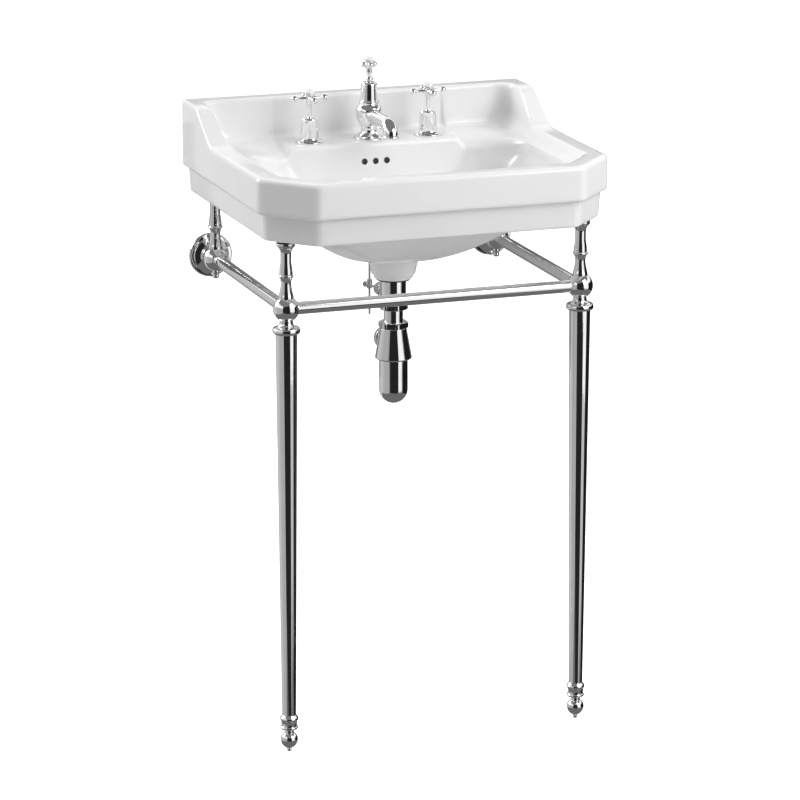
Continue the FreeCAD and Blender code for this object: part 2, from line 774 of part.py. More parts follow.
def lift_guide():
    """Ball-shaped guide nut for the lift rod, flat at both ends, from z = 0."""
    ball_nut = Part.makeSphere(guide_radius, V(0, 0, guide_height / 2))
    bore = rod(lift_rod_radius + run_gap, -1, guide_height + 1)
    return ball_nut.common(rod(guide_radius, 0, guide_height)).cut(bore)


def lift_knob():
    """Lobed knob on its stem, from z = 0, hollowed below for the rod's end."""
    height = knob_height
    stem = knob_stem_radius
    body = turned((0, 0), (stem - 0.5, 0), (stem - 0.3, 2), (stem + 0.4, 0.26 * height),
                  (stem, 0.48 * height),
                  (stem + 1.6, 0.55 * height, lift_button_radius - 1, 0.72 * height),
                  (lift_button_radius + 0.5, height), (0, height))
    ring = knob_radius - knob_lobe_radius
    for turn in range(4):
        angle = math.radians(90 * turn)
        centre = V(ring * math.cos(angle), ring * math.sin(angle), 0.77 * height)
        body = body.fuse(Part.makeSphere(knob_lobe_radius, centre))
    body = body.cut(rod(2 * knob_radius, height, 2 * height))
    return body.cut(rod(lift_rod_radius + seat_gap, -1, height / 2))


def waste_flange():
    """Flange in the bowl with its tube, from the sump's seat at z = 0 downwards."""
    tube = waste_tube_radius
    inner = tube - waste_tube_wall
    rim = waste_flange_radius
    return turned((inner, -waste_tube_length), (tube, -waste_tube_length), (tube, 0), (rim - 1, 0), (rim, 1),
                  (rim - 1.2, waste_flange_height - 0.4, rim - 4, waste_flange_height),
                  (plug_radius + 1, waste_flange_height), (inner + 1, 0.8), (inner, -1))


def waste_seal():
    return rod(seal_radius, 0, seal_thickness).cut(rod(waste_tube_radius + seat_gap, -1, seal_thickness + 1))


def waste_body():
    """Body under the basin, z = 0 at its top, with the side port for the pivot rod."""
    low = -waste_body_height
    tube_end = sump_z - waste_tube_length - seal_z - 1
    body = rod(waste_body_radius, low, 0)
    port = rod_y(port_radius, 0, port_length, 0, -port_drop)
    bores = [rod(waste_tube_radius + seat_gap, tube_end, 1), rod(waste_throat_radius + 0.6, low - 1, 1),
             rod_y(port_bore_radius, 0, port_length + 1, 0, -port_drop)]
    return body.fuse(port).cut(bores)


def pivot_nut():
    """Round nut over the end of the port, axis along z from the port's end at z = 0."""
    length = pivot_nut_length
    cap = 4.0
    body = rod(pivot_nut_radius, cap - length, cap).cut(rod(port_radius + seat_gap, -length, 0.4))
    grips = []
    count = 20
    for turn in range(count):
        angle = math.radians(360 / count * turn)
        ring = pivot_nut_radius + 0.3
        grips.append(rod(0.8, -length, cap + 1, ring * math.cos(angle), ring * math.sin(angle)))
    eye = Part.makeCone(pivot_ball_radius, port_bore_radius, cap + 1, V(0, 0, 0))
    return body.cut(grips + [eye])


def pivot_rod():
    """Rod through its ball, along y, with the ball's centre at the origin and its ends level."""
    front = -port_length - plug_stem_radius
    back = rod_reach + joint_radius + 6
    return rod_y(pivot_rod_radius, front, back, 0, 0).fuse(Part.makeSphere(pivot_ball_radius))


def plug():
    """Plug with its stem, z = 0 under the disc, and an eye around the pivot rod's end."""
    eye_z = port_z - port_length * rest_slope - plug_z
    low = eye_z - 8
    stem = plug_stem_radius
    disc = 2.5
    body = turned((0, low), (stem, low), (stem, -2), (waste_throat_radius - 2, 0), (plug_radius - 1, 0),
                  (plug_radius, 1), (plug_radius, disc), (0, disc))
    body = body.fuse(at(dome(plug_radius, plug_height - disc), 0, 0, disc)).removeSplitter()
    return body.cut(rod_y(pivot_rod_radius + free_gap, -stem - 1, stem + 1, 0, eye_z))


def rod_joint():
    """Sleeve on the lift rod with an eye beside it for the pivot rod, centred on the eye."""
    sleeve = rod(joint_radius, -joint_height / 2, joint_height / 2)
    eye_radius = pivot_rod_radius + free_gap
    ear = rod_y(eye_radius + 1.6, -joint_radius, joint_radius, -joint_offset, 0)
    bores = [rod(lift_rod_radius + seat_gap, -joint_height, joint_height),
             rod_y(eye_radius, -2 * joint_radius, 2 * joint_radius, -joint_offset, 0)]
    return sleeve.fuse(ear).cut(bores)


def trap_cup():
    """Conical trap body from its top at z = 0, with the outlet branch towards the wall."""
    top = cup_top_radius
    low = cup_bottom_radius
    depth = cup_height
    body = turned((0, 0), (top, 0), (low, 2 - depth), (low - 1.5, -depth), (0, -depth))
    branch = rod_y(outlet_radius, 0, outlet_reach, 0, -outlet_drop)
    neck = dip_tube_radius + seat_gap
    socket = bottle_radius + seat_gap
    hollow = turned((0, 1), (neck, 1), (neck, -2 * cup_wall), (top - cup_wall, -2 * cup_wall),
                    (socket, bottle_overlap + 2 - depth), (socket, -depth - 1), (0, -depth - 1))
    seat = outlet_reach - outlet_seat_depth
    throat = rod_y(outlet_throat_radius, dip_tube_radius, outlet_reach, 0, -outlet_drop)
    pipe_seat = rod_y(outlet_bore_radius, seat, outlet_reach + 1, 0, -outlet_drop)
    return body.fuse(branch).cut([hollow, throat, pipe_seat])


def trap_bottle():
    """Round-ended bottle screwed up into the cup, z = 0 at its top edge."""
    radius = bottle_radius
    inner = radius - bottle_wall
    straight = bottle_length - radius
    lean = math.sin(math.pi / 4)
    low_inner = -straight - inner * lean
    low_outer = -straight - radius * lean
    return turned((inner, 0), (inner, -straight), (inner * lean, low_inner, 0, -straight - inner),
                  (0, -straight - radius), (radius * lean, low_outer, radius, -straight), (radius, 0))


def outlet_nut():
    """Round union nut over the end of the outlet branch, axis along z, mouth at the top."""
    lip = 2.5
    length = outlet_nut_length
    low = lip - length
    edge = outlet_nut_radius - 1
    body = turned((0, low), (edge, low), (outlet_nut_radius, low + 1), (outlet_nut_radius, lip - 1),
                  (edge, lip), (0, lip))
    return body.cut([rod(outlet_radius + seat_gap, -length, 0), rod(outlet_bore_radius, -length, lip + 1)])


def towards_wall(shape, y, z):
    """Turns an upright piece so that its axis points at the wall."""
    return shape.rotated(V(0, 0, 0), V(1, 0, 0), -90).translated(V(0, y, z))


def on_waste(shape, z):
    """Puts a piece on the waste's axis, turned with the port."""
    return shape.rotated(V(0, 0, 0), V(0, 0, 1), port_turn).translated(V(0, waste_y, z))


def stand_parts():
    parts = {}
    pads = []
    for name, sign in (("left", -1), ("right", 1)):
        x = sign * leg_spread
        inward = V(-sign, 0, 0)
        up = V(0, 0, 1)
        down = V(0, 0, -1)
        back = V(0, 1, 0)
        front = V(0, -1, 0)
        parts["foot_" + name] = at(foot(), x, leg_y, 0)
        parts["leg_ferrule_" + name] = at(leg_ferrule(), x, leg_y, foot_height)
        parts["leg_" + name] = at(leg(), x, leg_y, leg_bottom_z)
        parts["leg_collar_" + name] = at(leg_collar(), x, leg_y, leg_top_z)
        front_ball = ball([(inward, rail_radius), (back, rail_radius)],
                          [(up, stud_radius - 1), (down, stud_radius)])
        rear_ball = ball([(front, rail_radius)],
                         [(up, stud_radius - 1), (down, stud_radius - 1), (back, hub_stud_radius)])
        parts["corner_ball_" + name] = at(front_ball, x, leg_y, rail_z)
        parts["rear_ball_" + name] = at(rear_ball, x, rear_y, rail_z)
        parts["front_pillar_" + name] = at(pillar(), x, leg_y, rail_z)
        parts["rear_pillar_" + name] = at(pillar(), x, rear_y, rail_z)
        pads += [at(pad(), x, leg_y, pad_z), at(pad(), x, rear_y, pad_z)]
        side_length = rear_y - leg_y - 2 * ball_socket_start - 2 * seat_gap
        side_rail = tube_x(side_length).rotated(V(0, 0, 0), up, 90)
        parts["side_rail_" + name] = at(side_rail, x, leg_y + ball_socket_start + seat_gap, rail_z)
        parts["wall_flange_" + name] = against_wall(wall_flange(), x, rail_z)
        parts["finial_" + name] = at(finial(), x, rear_y, rail_z)
    front_length = 2 * (leg_spread - ball_socket_start - seat_gap)
    parts["front_rail"] = at(tube_x(front_length), -front_length / 2, leg_y, rail_z)
    parts["support_pads"] = Part.makeCompound(pads)
    return parts


def tap_parts():
    parts = {}
    washers = []
    nuts = []
    for x in (-tap_spread, 0, tap_spread):
        washers.append(at(deck_washer(), x, tap_y, ledge_under_z - washer_thickness))
        nuts.append(at(back_nut(), x, tap_y, ledge_under_z - washer_thickness - nut_height))
    for name, sign in (("hot", -1), ("cold", 1)):
        x = sign * tap_spread
        parts[name + "_shroud"] = at(shroud(), x, tap_y, deck_z)
        parts[name + "_valve"] = at(valve(-sign), x, tap_y, deck_z)
        parts[name + "_spindle"] = at(spindle(), x, tap_y, deck_z)
        parts[name + "_handle"] = at(cross_handle(), x, tap_y, deck_z)
        button_z = deck_z + handle_height + handle_seat_rise
        parts[name + "_button"] = at(button(button_radius, button_height), x, tap_y, button_z)
    parts["deck_washers"] = Part.makeCompound(washers)
    parts["back_nuts"] = Part.makeCompound(nuts)
    bonnet_z = deck_z + spout_height
    guide_z = bonnet_z + bonnet_height
    knob_z = guide_z + guide_height + run_gap
    parts["spout"] = at(spout(), 0, tap_y, deck_z)
    outlet_ring_z = deck_z + spout_mouth_rise - 2 + 0.25 * spout_mouth_depth
    parts["spout_outlet"] = at(spout_outlet(), 0, tap_y - spout_reach, outlet_ring_z)
    parts["spout_bonnet"] = at(bonnet(), 0, tap_y, bonnet_z)
    parts["lift_guide"] = at(lift_guide(), 0, tap_y, guide_z)
    parts["lift_knob"] = at(lift_knob(), 0, tap_y, knob_z)
    lift_button = button(lift_button_radius, lift_button_height)
    parts["lift_button"] = at(lift_button, 0, tap_y, knob_z + knob_height)
    parts["lift_rod"] = rod(lift_rod_radius, port_z - lift_rod_below, knob_z + knob_height / 2, 0, tap_y)
    return parts


def waste_parts():
    parts = {}
    parts["waste_flange"] = at(waste_flange(), 0, waste_y, sump_z)
    parts["waste_seal"] = at(waste_seal(), 0, waste_y, seal_z)
    parts["waste_body"] = on_waste(waste_body(), seal_z)
    parts["waste_plug"] = on_waste(plug(), plug_z)
    parts["pivot_nut"] = on_waste(towards_wall(pivot_nut(), port_length, 0), port_z)
    arm = pivot_rod().rotated(V(0, 0, 0), V(1, 0, 0), pivot_rest_tilt)
    parts["pivot_rod"] = on_waste(at(arm, 0, port_length, 0), port_z)
    parts["rod_joint"] = at(rod_joint(), 0, tap_y, port_z + rod_reach * rest_slope)
    tube_bore = dip_tube_radius + seat_gap
    upper_nut = hexagon(waste_nut_flats, waste_nut_height, tube_bore)
    parts["waste_nut"] = at(upper_nut, 0, waste_y, body_bottom_z - waste_nut_height)
    tube_top = body_bottom_z + seat_gap
    tube = rod(dip_tube_radius, tube_top - dip_tube_length, tube_top)
    tube = tube.cut(rod(dip_tube_radius - dip_tube_wall, tube_top - dip_tube_length, tube_top))
    parts["dip_tube"] = at(tube, 0, waste_y, 0)
    parts["trap_nut"] = at(hexagon(trap_nut_flats, trap_nut_height, tube_bore), 0, waste_y, cup_top_z)
    parts["trap_cup"] = at(trap_cup(), 0, waste_y, cup_top_z)
    parts["trap_bottle"] = at(trap_bottle(), 0, waste_y, cup_bottom_z + bottle_overlap)
    parts["outlet_nut"] = towards_wall(outlet_nut(), waste_y + outlet_reach, outlet_z)
    return parts


os.makedirs("parts", exist_ok=True)
pieces = {"basin": basin()}
pieces.update(stand_parts())
pieces.update(tap_parts())
pieces.update(waste_parts())
for name, shape in pieces.items():
    shape.exportStep("parts/%s.step" % name)
    print(name, len(shape.Solids), shape.isValid(), round(shape.Volume / 1000, 1))
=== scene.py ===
import math

import bmesh
import bpy
import numpy as np
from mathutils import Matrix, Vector


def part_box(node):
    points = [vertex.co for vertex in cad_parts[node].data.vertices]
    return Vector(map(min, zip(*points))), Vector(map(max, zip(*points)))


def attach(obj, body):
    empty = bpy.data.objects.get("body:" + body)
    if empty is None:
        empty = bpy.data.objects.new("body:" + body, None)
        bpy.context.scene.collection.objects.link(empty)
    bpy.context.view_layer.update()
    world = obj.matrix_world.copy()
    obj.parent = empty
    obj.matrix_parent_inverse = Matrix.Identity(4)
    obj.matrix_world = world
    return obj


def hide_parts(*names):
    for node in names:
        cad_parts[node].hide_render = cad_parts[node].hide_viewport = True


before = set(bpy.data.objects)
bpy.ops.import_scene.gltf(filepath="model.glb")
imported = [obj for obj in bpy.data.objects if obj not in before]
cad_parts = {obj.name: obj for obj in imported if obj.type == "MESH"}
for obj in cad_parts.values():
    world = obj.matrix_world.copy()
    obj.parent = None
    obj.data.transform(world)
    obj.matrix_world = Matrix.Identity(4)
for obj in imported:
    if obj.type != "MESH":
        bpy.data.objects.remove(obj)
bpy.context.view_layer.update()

# Wall flanges. Each rose is turned from brass bar, stepped, polished and chromed. Three round-headed
# cross-slot screws hold it to the wall, and its hub carries the rear ball of the stand.


def outline_of(start, *steps, parts=12):
    """Turner's outline as points of radius and height: a pair ends a straight run, and four numbers
    give the middle and the end of a bend, which is sampled at equal angles on the circle through them."""
    points = [np.array([start], float)]
    for step in steps:
        here = points[-1][-1]
        if len(step) == 2:
            points.append(np.array([step], float))
            continue
        middle = np.array(step[:2], float) - here
        end = np.array(step[2:], float) - here
        cross = 2 * (middle[0] * end[1] - middle[1] * end[0])
        across = middle @ middle * end - end @ end * middle
        centre = here + np.array([across[1], -across[0]]) / cross
        angles = [math.atan2(*(p - centre)[::-1]) for p in (here, here + middle, here + end)]
        half = (angles[1] - angles[0]) % (2 * math.pi)
        whole = (angles[2] - angles[0]) % (2 * math.pi)
        sweep = whole if half < whole else whole - 2 * math.pi
        turn = angles[0] + sweep * np.linspace(0, 1, parts + 1)[1:]
        radius = np.linalg.norm(here - centre)
        points.append(centre + radius * np.stack([np.cos(turn), np.sin(turn)], 1))
    return np.concatenate(points)


def eased(points, ease, parts=5):
    """The outline with its corners eased: a corner of more than 12 degrees becomes the quadratic
    curve from a point `ease` before it to a point `ease` after it, or less where a run is short. Runs
    over 12 mm get a point 0.5 mm from each end, so that they shade as straight."""
    before = points[1:-1] - points[:-2]
    after = points[2:] - points[1:-1]
    low = np.linalg.norm(before, axis=1)
    high = np.linalg.norm(after, axis=1)
    cross = before[:, 0] * after[:, 1] - before[:, 1] * after[:, 0]
    turn = np.abs(np.arctan2(cross, (before * after).sum(1)))
    reach = np.where(turn > 0.21, np.minimum(ease, 0.45 * np.minimum(low, high)), 0)
    first = points[1:-1] - before * (reach / low)[:, None]
    last = points[1:-1] + after * (reach / high)[:, None]
    t = np.linspace(0, 1, parts)[None, :, None]
    curve = (1 - t) ** 2 * first[:, None] + 2 * t * (1 - t) * points[1:-1, None] + t**2 * last[:, None]
    line = np.concatenate([points[:1], curve.reshape(-1, 2), points[-1:]])
    apart = np.linalg.norm(np.diff(line, axis=0), axis=1) > 1e-5
    line = line[np.append(True, apart)]
    run = np.diff(line, axis=0)
    length = np.linalg.norm(run, axis=1)
    step = run * (0.5 / length)[:, None]
    filled = np.stack([line[:-1], line[:-1] + step, line[1:] - step], 1).reshape(-1, 2)
    kept = np.stack([length > 0, length > 12, length > 12], 1).ravel()
    return np.concatenate([filled[kept], line[-1:]])


def turned(start, *steps, ease=0.4, turns=96, parts=12):
    """Turned surface: the eased outline's radius and height carried once round the upright axis."""
    line = eased(outline_of(start, *steps, parts=parts), ease)
    angle = np.linspace(0, 2 * math.pi, turns + 1)
    height = np.repeat(line[:, 1:], turns + 1, 1)
    return np.stack([np.outer(line[:, 0], np.cos(angle)), np.outer(line[:, 0], np.sin(angle)), height], -1)


def placed(grid, centre, axis=(0, 0, 1)):
    """The grid moved to centre with its own height laid along axis; its own y stays as upright as it can."""
    along = np.array(axis, float) / np.linalg.norm(axis)
    up = np.array((0, 0, 1.0)) if abs(along[2]) < 0.99 else np.array((0, 1.0, 0))
    up = up - (up @ along) * along
    up /= np.linalg.norm(up)
    return grid @ np.stack([np.cross(up, along), up, along]) + np.array(centre, float)


def quads_of(rows, columns, first=0):
    """Corner numbers of the quads between neighbouring rows and columns, counted from first."""
    index = first + np.arange(rows * columns).reshape(rows, columns)
    return np.stack([index[:-1, :-1], index[:-1, 1:], index[1:, 1:], index[1:, :-1]], -1).reshape(-1, 4)


def piece(name, grids, finish, slot, body, *nodes, crease=38):
    """Mesh in metres from grids in millimetres: neighbouring rows and columns make quads, points that
    fall together at seams and poles are merged, and edges sharper than crease stay crisp."""
    points, quads, count = [], [], 0
    for grid in grids:
        quads.append(quads_of(*grid.shape[:2], count))
        points.append(grid.reshape(-1, 3))
        count += len(points[-1])
    points, quads = np.concatenate(points) * 0.001, np.concatenate(quads)
    mesh = bpy.data.meshes.new(name)
    mesh.vertices.add(len(points))
    mesh.vertices.foreach_set("co", points.ravel())
    mesh.loops.add(quads.size)
    mesh.loops.foreach_set("vertex_index", quads.ravel())
    mesh.polygons.add(len(quads))
    mesh.polygons.foreach_set("loop_start", np.arange(0, quads.size, 4))
    mesh.update(calc_edges=True)
    shell = bmesh.new()
    shell.from_mesh(mesh)
    bmesh.ops.remove_doubles(shell, verts=shell.verts, dist=2e-6)
    bmesh.ops.dissolve_degenerate(shell, edges=shell.edges, dist=1e-7)
    bmesh.ops.recalc_face_normals(shell, faces=shell.faces)
    shell.to_mesh(mesh)
    shell.free()
    mesh.polygons.foreach_set("use_smooth", np.ones(len(mesh.polygons), bool))
    mesh.set_sharp_from_angle(angle=math.radians(crease))
    made = bpy.data.objects.new(name, mesh)
    bpy.context.scene.collection.objects.link(made)
    mesh.materials.append(finish)
    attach(made, body)
    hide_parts(*nodes)
    return made


def new_finish(name, colour, rough, metallic=0.0):
    """Empty finish: a Principled shader with its even values set, and the object's own coordinates."""
    finish = bpy.data.materials.new(name)
    finish.use_nodes = True
    skin = finish.node_tree.nodes["Principled BSDF"]
    skin.inputs["Base Color"].default_value = (*colour, 1)
    skin.inputs["Roughness"].default_value = rough
    skin.inputs["Metallic"].default_value = metallic
    where = finish.node_tree.nodes.new("ShaderNodeTexCoord")
    return finish, finish.node_tree, skin, where.outputs["Object"]


def spots(tree, where, scale, detail, rough=0.5):
    """Cloudy noise of a given scale per metre over the object's coordinates."""
    noise = tree.nodes.new("ShaderNodeTexNoise")
    noise.inputs["Scale"].default_value = scale
    noise.inputs["Detail"].default_value = detail
    noise.inputs["Roughness"].default_value = rough
    tree.links.new(where, noise.inputs["Vector"])
    return noise.outputs["Fac"]


def spread(tree, value, low, high, socket):
    """The noise's usual span, 0.3 to 0.7, stretched to low and high and led to a socket."""
    span = tree.nodes.new("ShaderNodeMapRange")
    span.inputs["From Min"].default_value = 0.3
    span.inputs["From Max"].default_value = 0.7
    span.inputs["To Min"].default_value = low
    span.inputs["To Max"].default_value = high
    tree.links.new(value, span.inputs["Value"])
    tree.links.new(span.outputs["Result"], socket)


def tints(tree, value, low, high, socket):
    """Two near colours shaded into each other by the noise."""
    ramp = tree.nodes.new("ShaderNodeValToRGB")
    ramp.color_ramp.elements[0].position = 0.3
    ramp.color_ramp.elements[1].position = 0.7
    ramp.color_ramp.elements[0].color = (*low, 1)
    ramp.color_ramp.elements[1].color = (*high, 1)
    tree.links.new(value, ramp.inputs["Fac"])
    tree.links.new(ramp.outputs["Color"], socket)


def relief(tree, value, depth, skin):
    """Fine unevenness of a given depth in metres, as bump."""
    bump = tree.nodes.new("ShaderNodeBump")
    bump.inputs["Strength"].default_value = 1.0
    bump.inputs["Distance"].default_value = depth
    tree.links.new(value, bump.inputs["Height"])
    tree.links.new(bump.outputs["Normal"], skin.inputs["Normal"])


chrome, tree, skin, where = new_finish("polished_chrome", (0.90, 0.905, 0.915), 0.04, 1.0)
tints(tree, spots(tree, where, 30, 3), (0.87, 0.877, 0.89), (0.92, 0.925, 0.935), skin.inputs["Base Color"])
spread(tree, spots(tree, where, 55, 4, 0.6), 0.02, 0.065, skin.inputs["Roughness"])
relief(tree, spots(tree, where, 90, 2), 0.000012, skin)


def polished(node, grids, body="washstand"):
    """Chromed piece in the place of the CAD node whose name it takes."""
    return piece(f"{node}_polished", grids, chrome, "chrome", body, node)


leg_x = 236.0
sides = (("left", -leg_x), ("right", leg_x))
wall_y = 235.0
rear_y = 205.0
rail_z = 698.0
ball_radius = 20.0
screw_circle, screw_seat = 31.0, 5.4
screw_turns = (30, 150, 270)
towards_room = (0, -1, 0)

flange = turned((0, 0), (35, 0), (35, 2.2), (34.3, 4.4, 32.5, 5.2), (28.6, 5.6), (28.1, 7.4), (27.5, 8),
                (20, 9.6), (18.6, 10.1), (18, 10.8), (18, 18), (0, 18), ease=0.5)


def screw_head(radius, rise):
    """Round screw head: height is rise times one less the square of the radius share, less a cross slot
    whose depth fades smoothly over its edges; the rim drops straight to the seat."""
    share = np.append(np.linspace(0, 1, 19), 1.0)[:, None]
    angle = np.linspace(0, 2 * math.pi, 65)[None, :]
    x, y = radius * share * np.cos(angle), radius * share * np.sin(angle)
    slot = np.maximum(np.clip((0.5 - np.abs(x)) / 0.2, 0, 1), np.clip((0.5 - np.abs(y)) / 0.2, 0, 1))
    slot = slot * np.clip((0.68 - share) / 0.1, 0, 1)
    z = rise * (0.35 + 0.65 * (1 - share**2)) - 0.7 * rise * slot
    z[-1] = -1.0
    return np.stack([x, y, z], -1)[::-1]


for side, x in sides:
    polished(f"wall_flange_{side}", [placed(flange, (x, wall_y, rail_z), towards_room)])
    heads = []
    for turn in np.radians(screw_turns):
        across, up = screw_circle * math.cos(turn), screw_circle * math.sin(turn)
        seat = (x + across, wall_y - screw_seat, rail_z + up)
        heads.append(placed(screw_head(4.1, 1.7), seat, towards_room))
    piece(f"wall_screws_{side}", heads, chrome, "chrome", "washstand")

# Rear balls and finials. The balls are turned and polished brass, tapped for the hub, the side rail and
# the rear pillar, and a small turned finial screws in from below.

ball = turned((0, -ball_radius), (ball_radius, 0, 0, ball_radius), parts=56)
finial = turned((0, -32), (3.2, -32), (4.6, -30.6, 4.8, -28), (4.8, -24.4), (5.8, -22.6), (5.8, -16),
                (0, -16), turns=64)
for side, x in sides:
    here = (x, rear_y, rail_z)
    polished(f"rear_ball_{side}", [placed(ball, here)])
    polished(f"finial_{side}", [placed(finial, here)])

# Front corner balls and towel rails. The rails are drawn brass tube, polished and chromed, pushed into
# the bored balls: one across the front and one back to the wall on each side.

leg_y = -159.0
rail_radius = 9.5
rail_start = 12.05


def rail(length):
    """Straight tube from its two sockets: a circle carried along the axis, closed at both ends."""
    return turned((0, rail_start), (rail_radius, rail_start), (rail_radius, length / 2),
                  (rail_radius, length - rail_start), (0, length - rail_start))


for side, x in sides:
    here = (x, leg_y, rail_z)
    polished(f"corner_ball_{side}", [placed(ball, here)])
    polished(f"side_rail_{side}", [placed(rail(rear_y - leg_y), here, (0, 1, 0))])
polished("front_rail", [placed(rail(2 * leg_x), (-leg_x, leg_y, rail_z), (1, 0, 0))])

# Legs. Each is a tapered brass tube between a turned collar under the ball and a turned ferrule below,
# polished and chromed; the collar's spigot and the ferrule's are pushed into the tube.

leg_bottom, leg_top = 59.0, 661.0
leg_tube = turned((0, leg_bottom), (10.8, leg_bottom), (13.6, (leg_bottom + leg_top) / 2), (16.4, leg_top),
                  (0, leg_top), ease=0.25)
collar = turned((0, 0), (19.7, 0), (21.3, 4.4, 19.7, 8.9), (12.4, 11.7, 10.2, 17), (10.2, 22), (0, 22),
                ease=0.5)
ferrule_height = 23
ferrule = turned((7.8, 4), (7.8, 0), (11.6, 0), (13.6, 2.6, 12, 5.2), (12.3, 13), (13, 14),
                 (14.2, 17, 13, 20), (11.2, ferrule_height), (0, ferrule_height), (0, 4), (7.8, 4), ease=0.3)
for side, x in sides:
    polished(f"leg_{side}", [placed(leg_tube, (x, leg_y, 0))])
    polished(f"leg_collar_{side}", [placed(collar, (x, leg_y, leg_top))])
    polished(f"leg_ferrule_{side}", [placed(ferrule, (x, leg_y, leg_bottom - ferrule_height))])

# Levelling feet. Each is a small turned bulb on a threaded stud that screws into the ferrule, so that the
# stand can be set level; bulb and stud are chromed brass.

foot = turned((0, 0), (2.4, 0), (3.5, 2.6, 2.8, 5), (10.2, 10.4, 13.4, 19.1), (11.4, 25.9, 7.2, 29.5),
              (7.2, 37.5), (0, 37.5), ease=0.5)


def screw_thread(radius, pitch, low, high, depth=0.55):
    """Threaded stud: the radius falls and rises by depth once a pitch along the axis, and the wave runs
    on by one pitch for each turn round, so the crest is a helix; both ends are closed flat."""
    angle = np.linspace(0, 2 * math.pi, 49)[None, :]
    height = np.linspace(low, high, int((high - low) / pitch * 10))[:, None]
    wave = np.abs((height / pitch - angle / (2 * math.pi)) % 1 - 0.5) * 2
    reach = np.broadcast_to(radius - depth * wave, (height.size, angle.size))
    shell = np.stack([reach * np.cos(angle), reach * np.sin(angle), np.broadcast_to(height, reach.shape)], -1)
    pole = np.zeros((1, angle.size, 3))
    return np.concatenate([pole + (0, 0, low), shell, pole + (0, 0, high)])


stud = screw_thread(4.0, 1.25, 37.4, 65.5)
for side, x in sides:
    polished(f"foot_{side}", [placed(part, (x, leg_y, 0)) for part in (foot, stud)], f"foot_{side}")

# Pillars and pads. Four turned and chromed pillars rise from the balls to the underside of the basin,
# each with a moulded black rubber pad in its cupped top that the ceramic rests on.

pillar_height = 95.5
pillar = turned((0, 11.4), (11.4, 11.4), (11.4, 20), (8.7, 31.5, 7.7, 38.2), (8.2, 43.4, 9.7, 48.1),
                (10.1, 48.9), (11.7, 51.1, 10.1, 53.3), (10.2, 54.1), (9.8, 60.2, 8.2, 70.7), (8.2, 84.5),
                (9.3, 90.4, 12.4, 95), (14.4, 98.6, 14.2, 101.4), (13.5, 101.9), (13.5, pillar_height),
                (0, pillar_height), ease=0.3)
rubber, tree, skin, where = new_finish("black_rubber", (0.018, 0.018, 0.019), 0.6)
tints(tree, spots(tree, where, 260, 4), (0.012, 0.012, 0.013), (0.028, 0.028, 0.027),
      skin.inputs["Base Color"])
spread(tree, spots(tree, where, 700, 3), 0.5, 0.72, skin.inputs["Roughness"])
relief(tree, spots(tree, where, 1500, 3), 0.00008, skin)
pad = turned((0, 0), (12.2, 0), (13.4, 1.2), (13.4, 8.8), (12.2, 10), (0, 10), ease=0.5)
pads = []
for side, x in sides:
    for end, y in (("front", leg_y), ("rear", rear_y)):
        polished(f"{end}_pillar_{side}", [placed(pillar, (x, y, rail_z))])
        pads.append(placed(pad, (x, y, rail_z + pillar_height)))
piece("support_pads_moulded", pads, rubber, "rubber", "washstand", "support_pads")

# Basin. One slip-cast vitreous china casting under white glaze: bowl, rim, tap ledge, soap slopes,
# wings and upstand in one, hollow underneath; it rests on the four pads and is bolted to the wall.

half_width, cut_x, cut_y, front_y = 280.0, 68.0, 75.0, -235.0
apron_z, step_z, rim_z, upstand_z = 803.5, 845.5, 899.5, 949.5
deck_z, ledge_under, ceiling_z, sump_z = 885.5, 868.5, 849.5, 733.5
waste_y, bowl_back, bowl_front, bowl_half, sump_half = 32.0, 117.0, -174.0, 222.0, 37.0
bowl_depth, bowl_fullness, floor_fall, floor_bend = 152.0, 3.0, 0.66, 1.4
apron_inset, step_inset, skirt_inset, skirt_back = 12.0, 9.5, 28.0, wall_y - 18
foot_guess, crest_guess = (51.0, 199.0), (28.0, 203.0)
ceramic, bunching, glaze_crease = 12.0, 2.3, 42
back_stations = np.concatenate([np.linspace(0, 118, 13), np.linspace(122, 156, 18)])
back_stations = np.concatenate([back_stations[::-1], -back_stations[1:]])


def smooth(t):
    """Soft step from 0 to 1."""
    t = np.clip(t, 0, 1)
    return t * t * (3 - 2 * t)


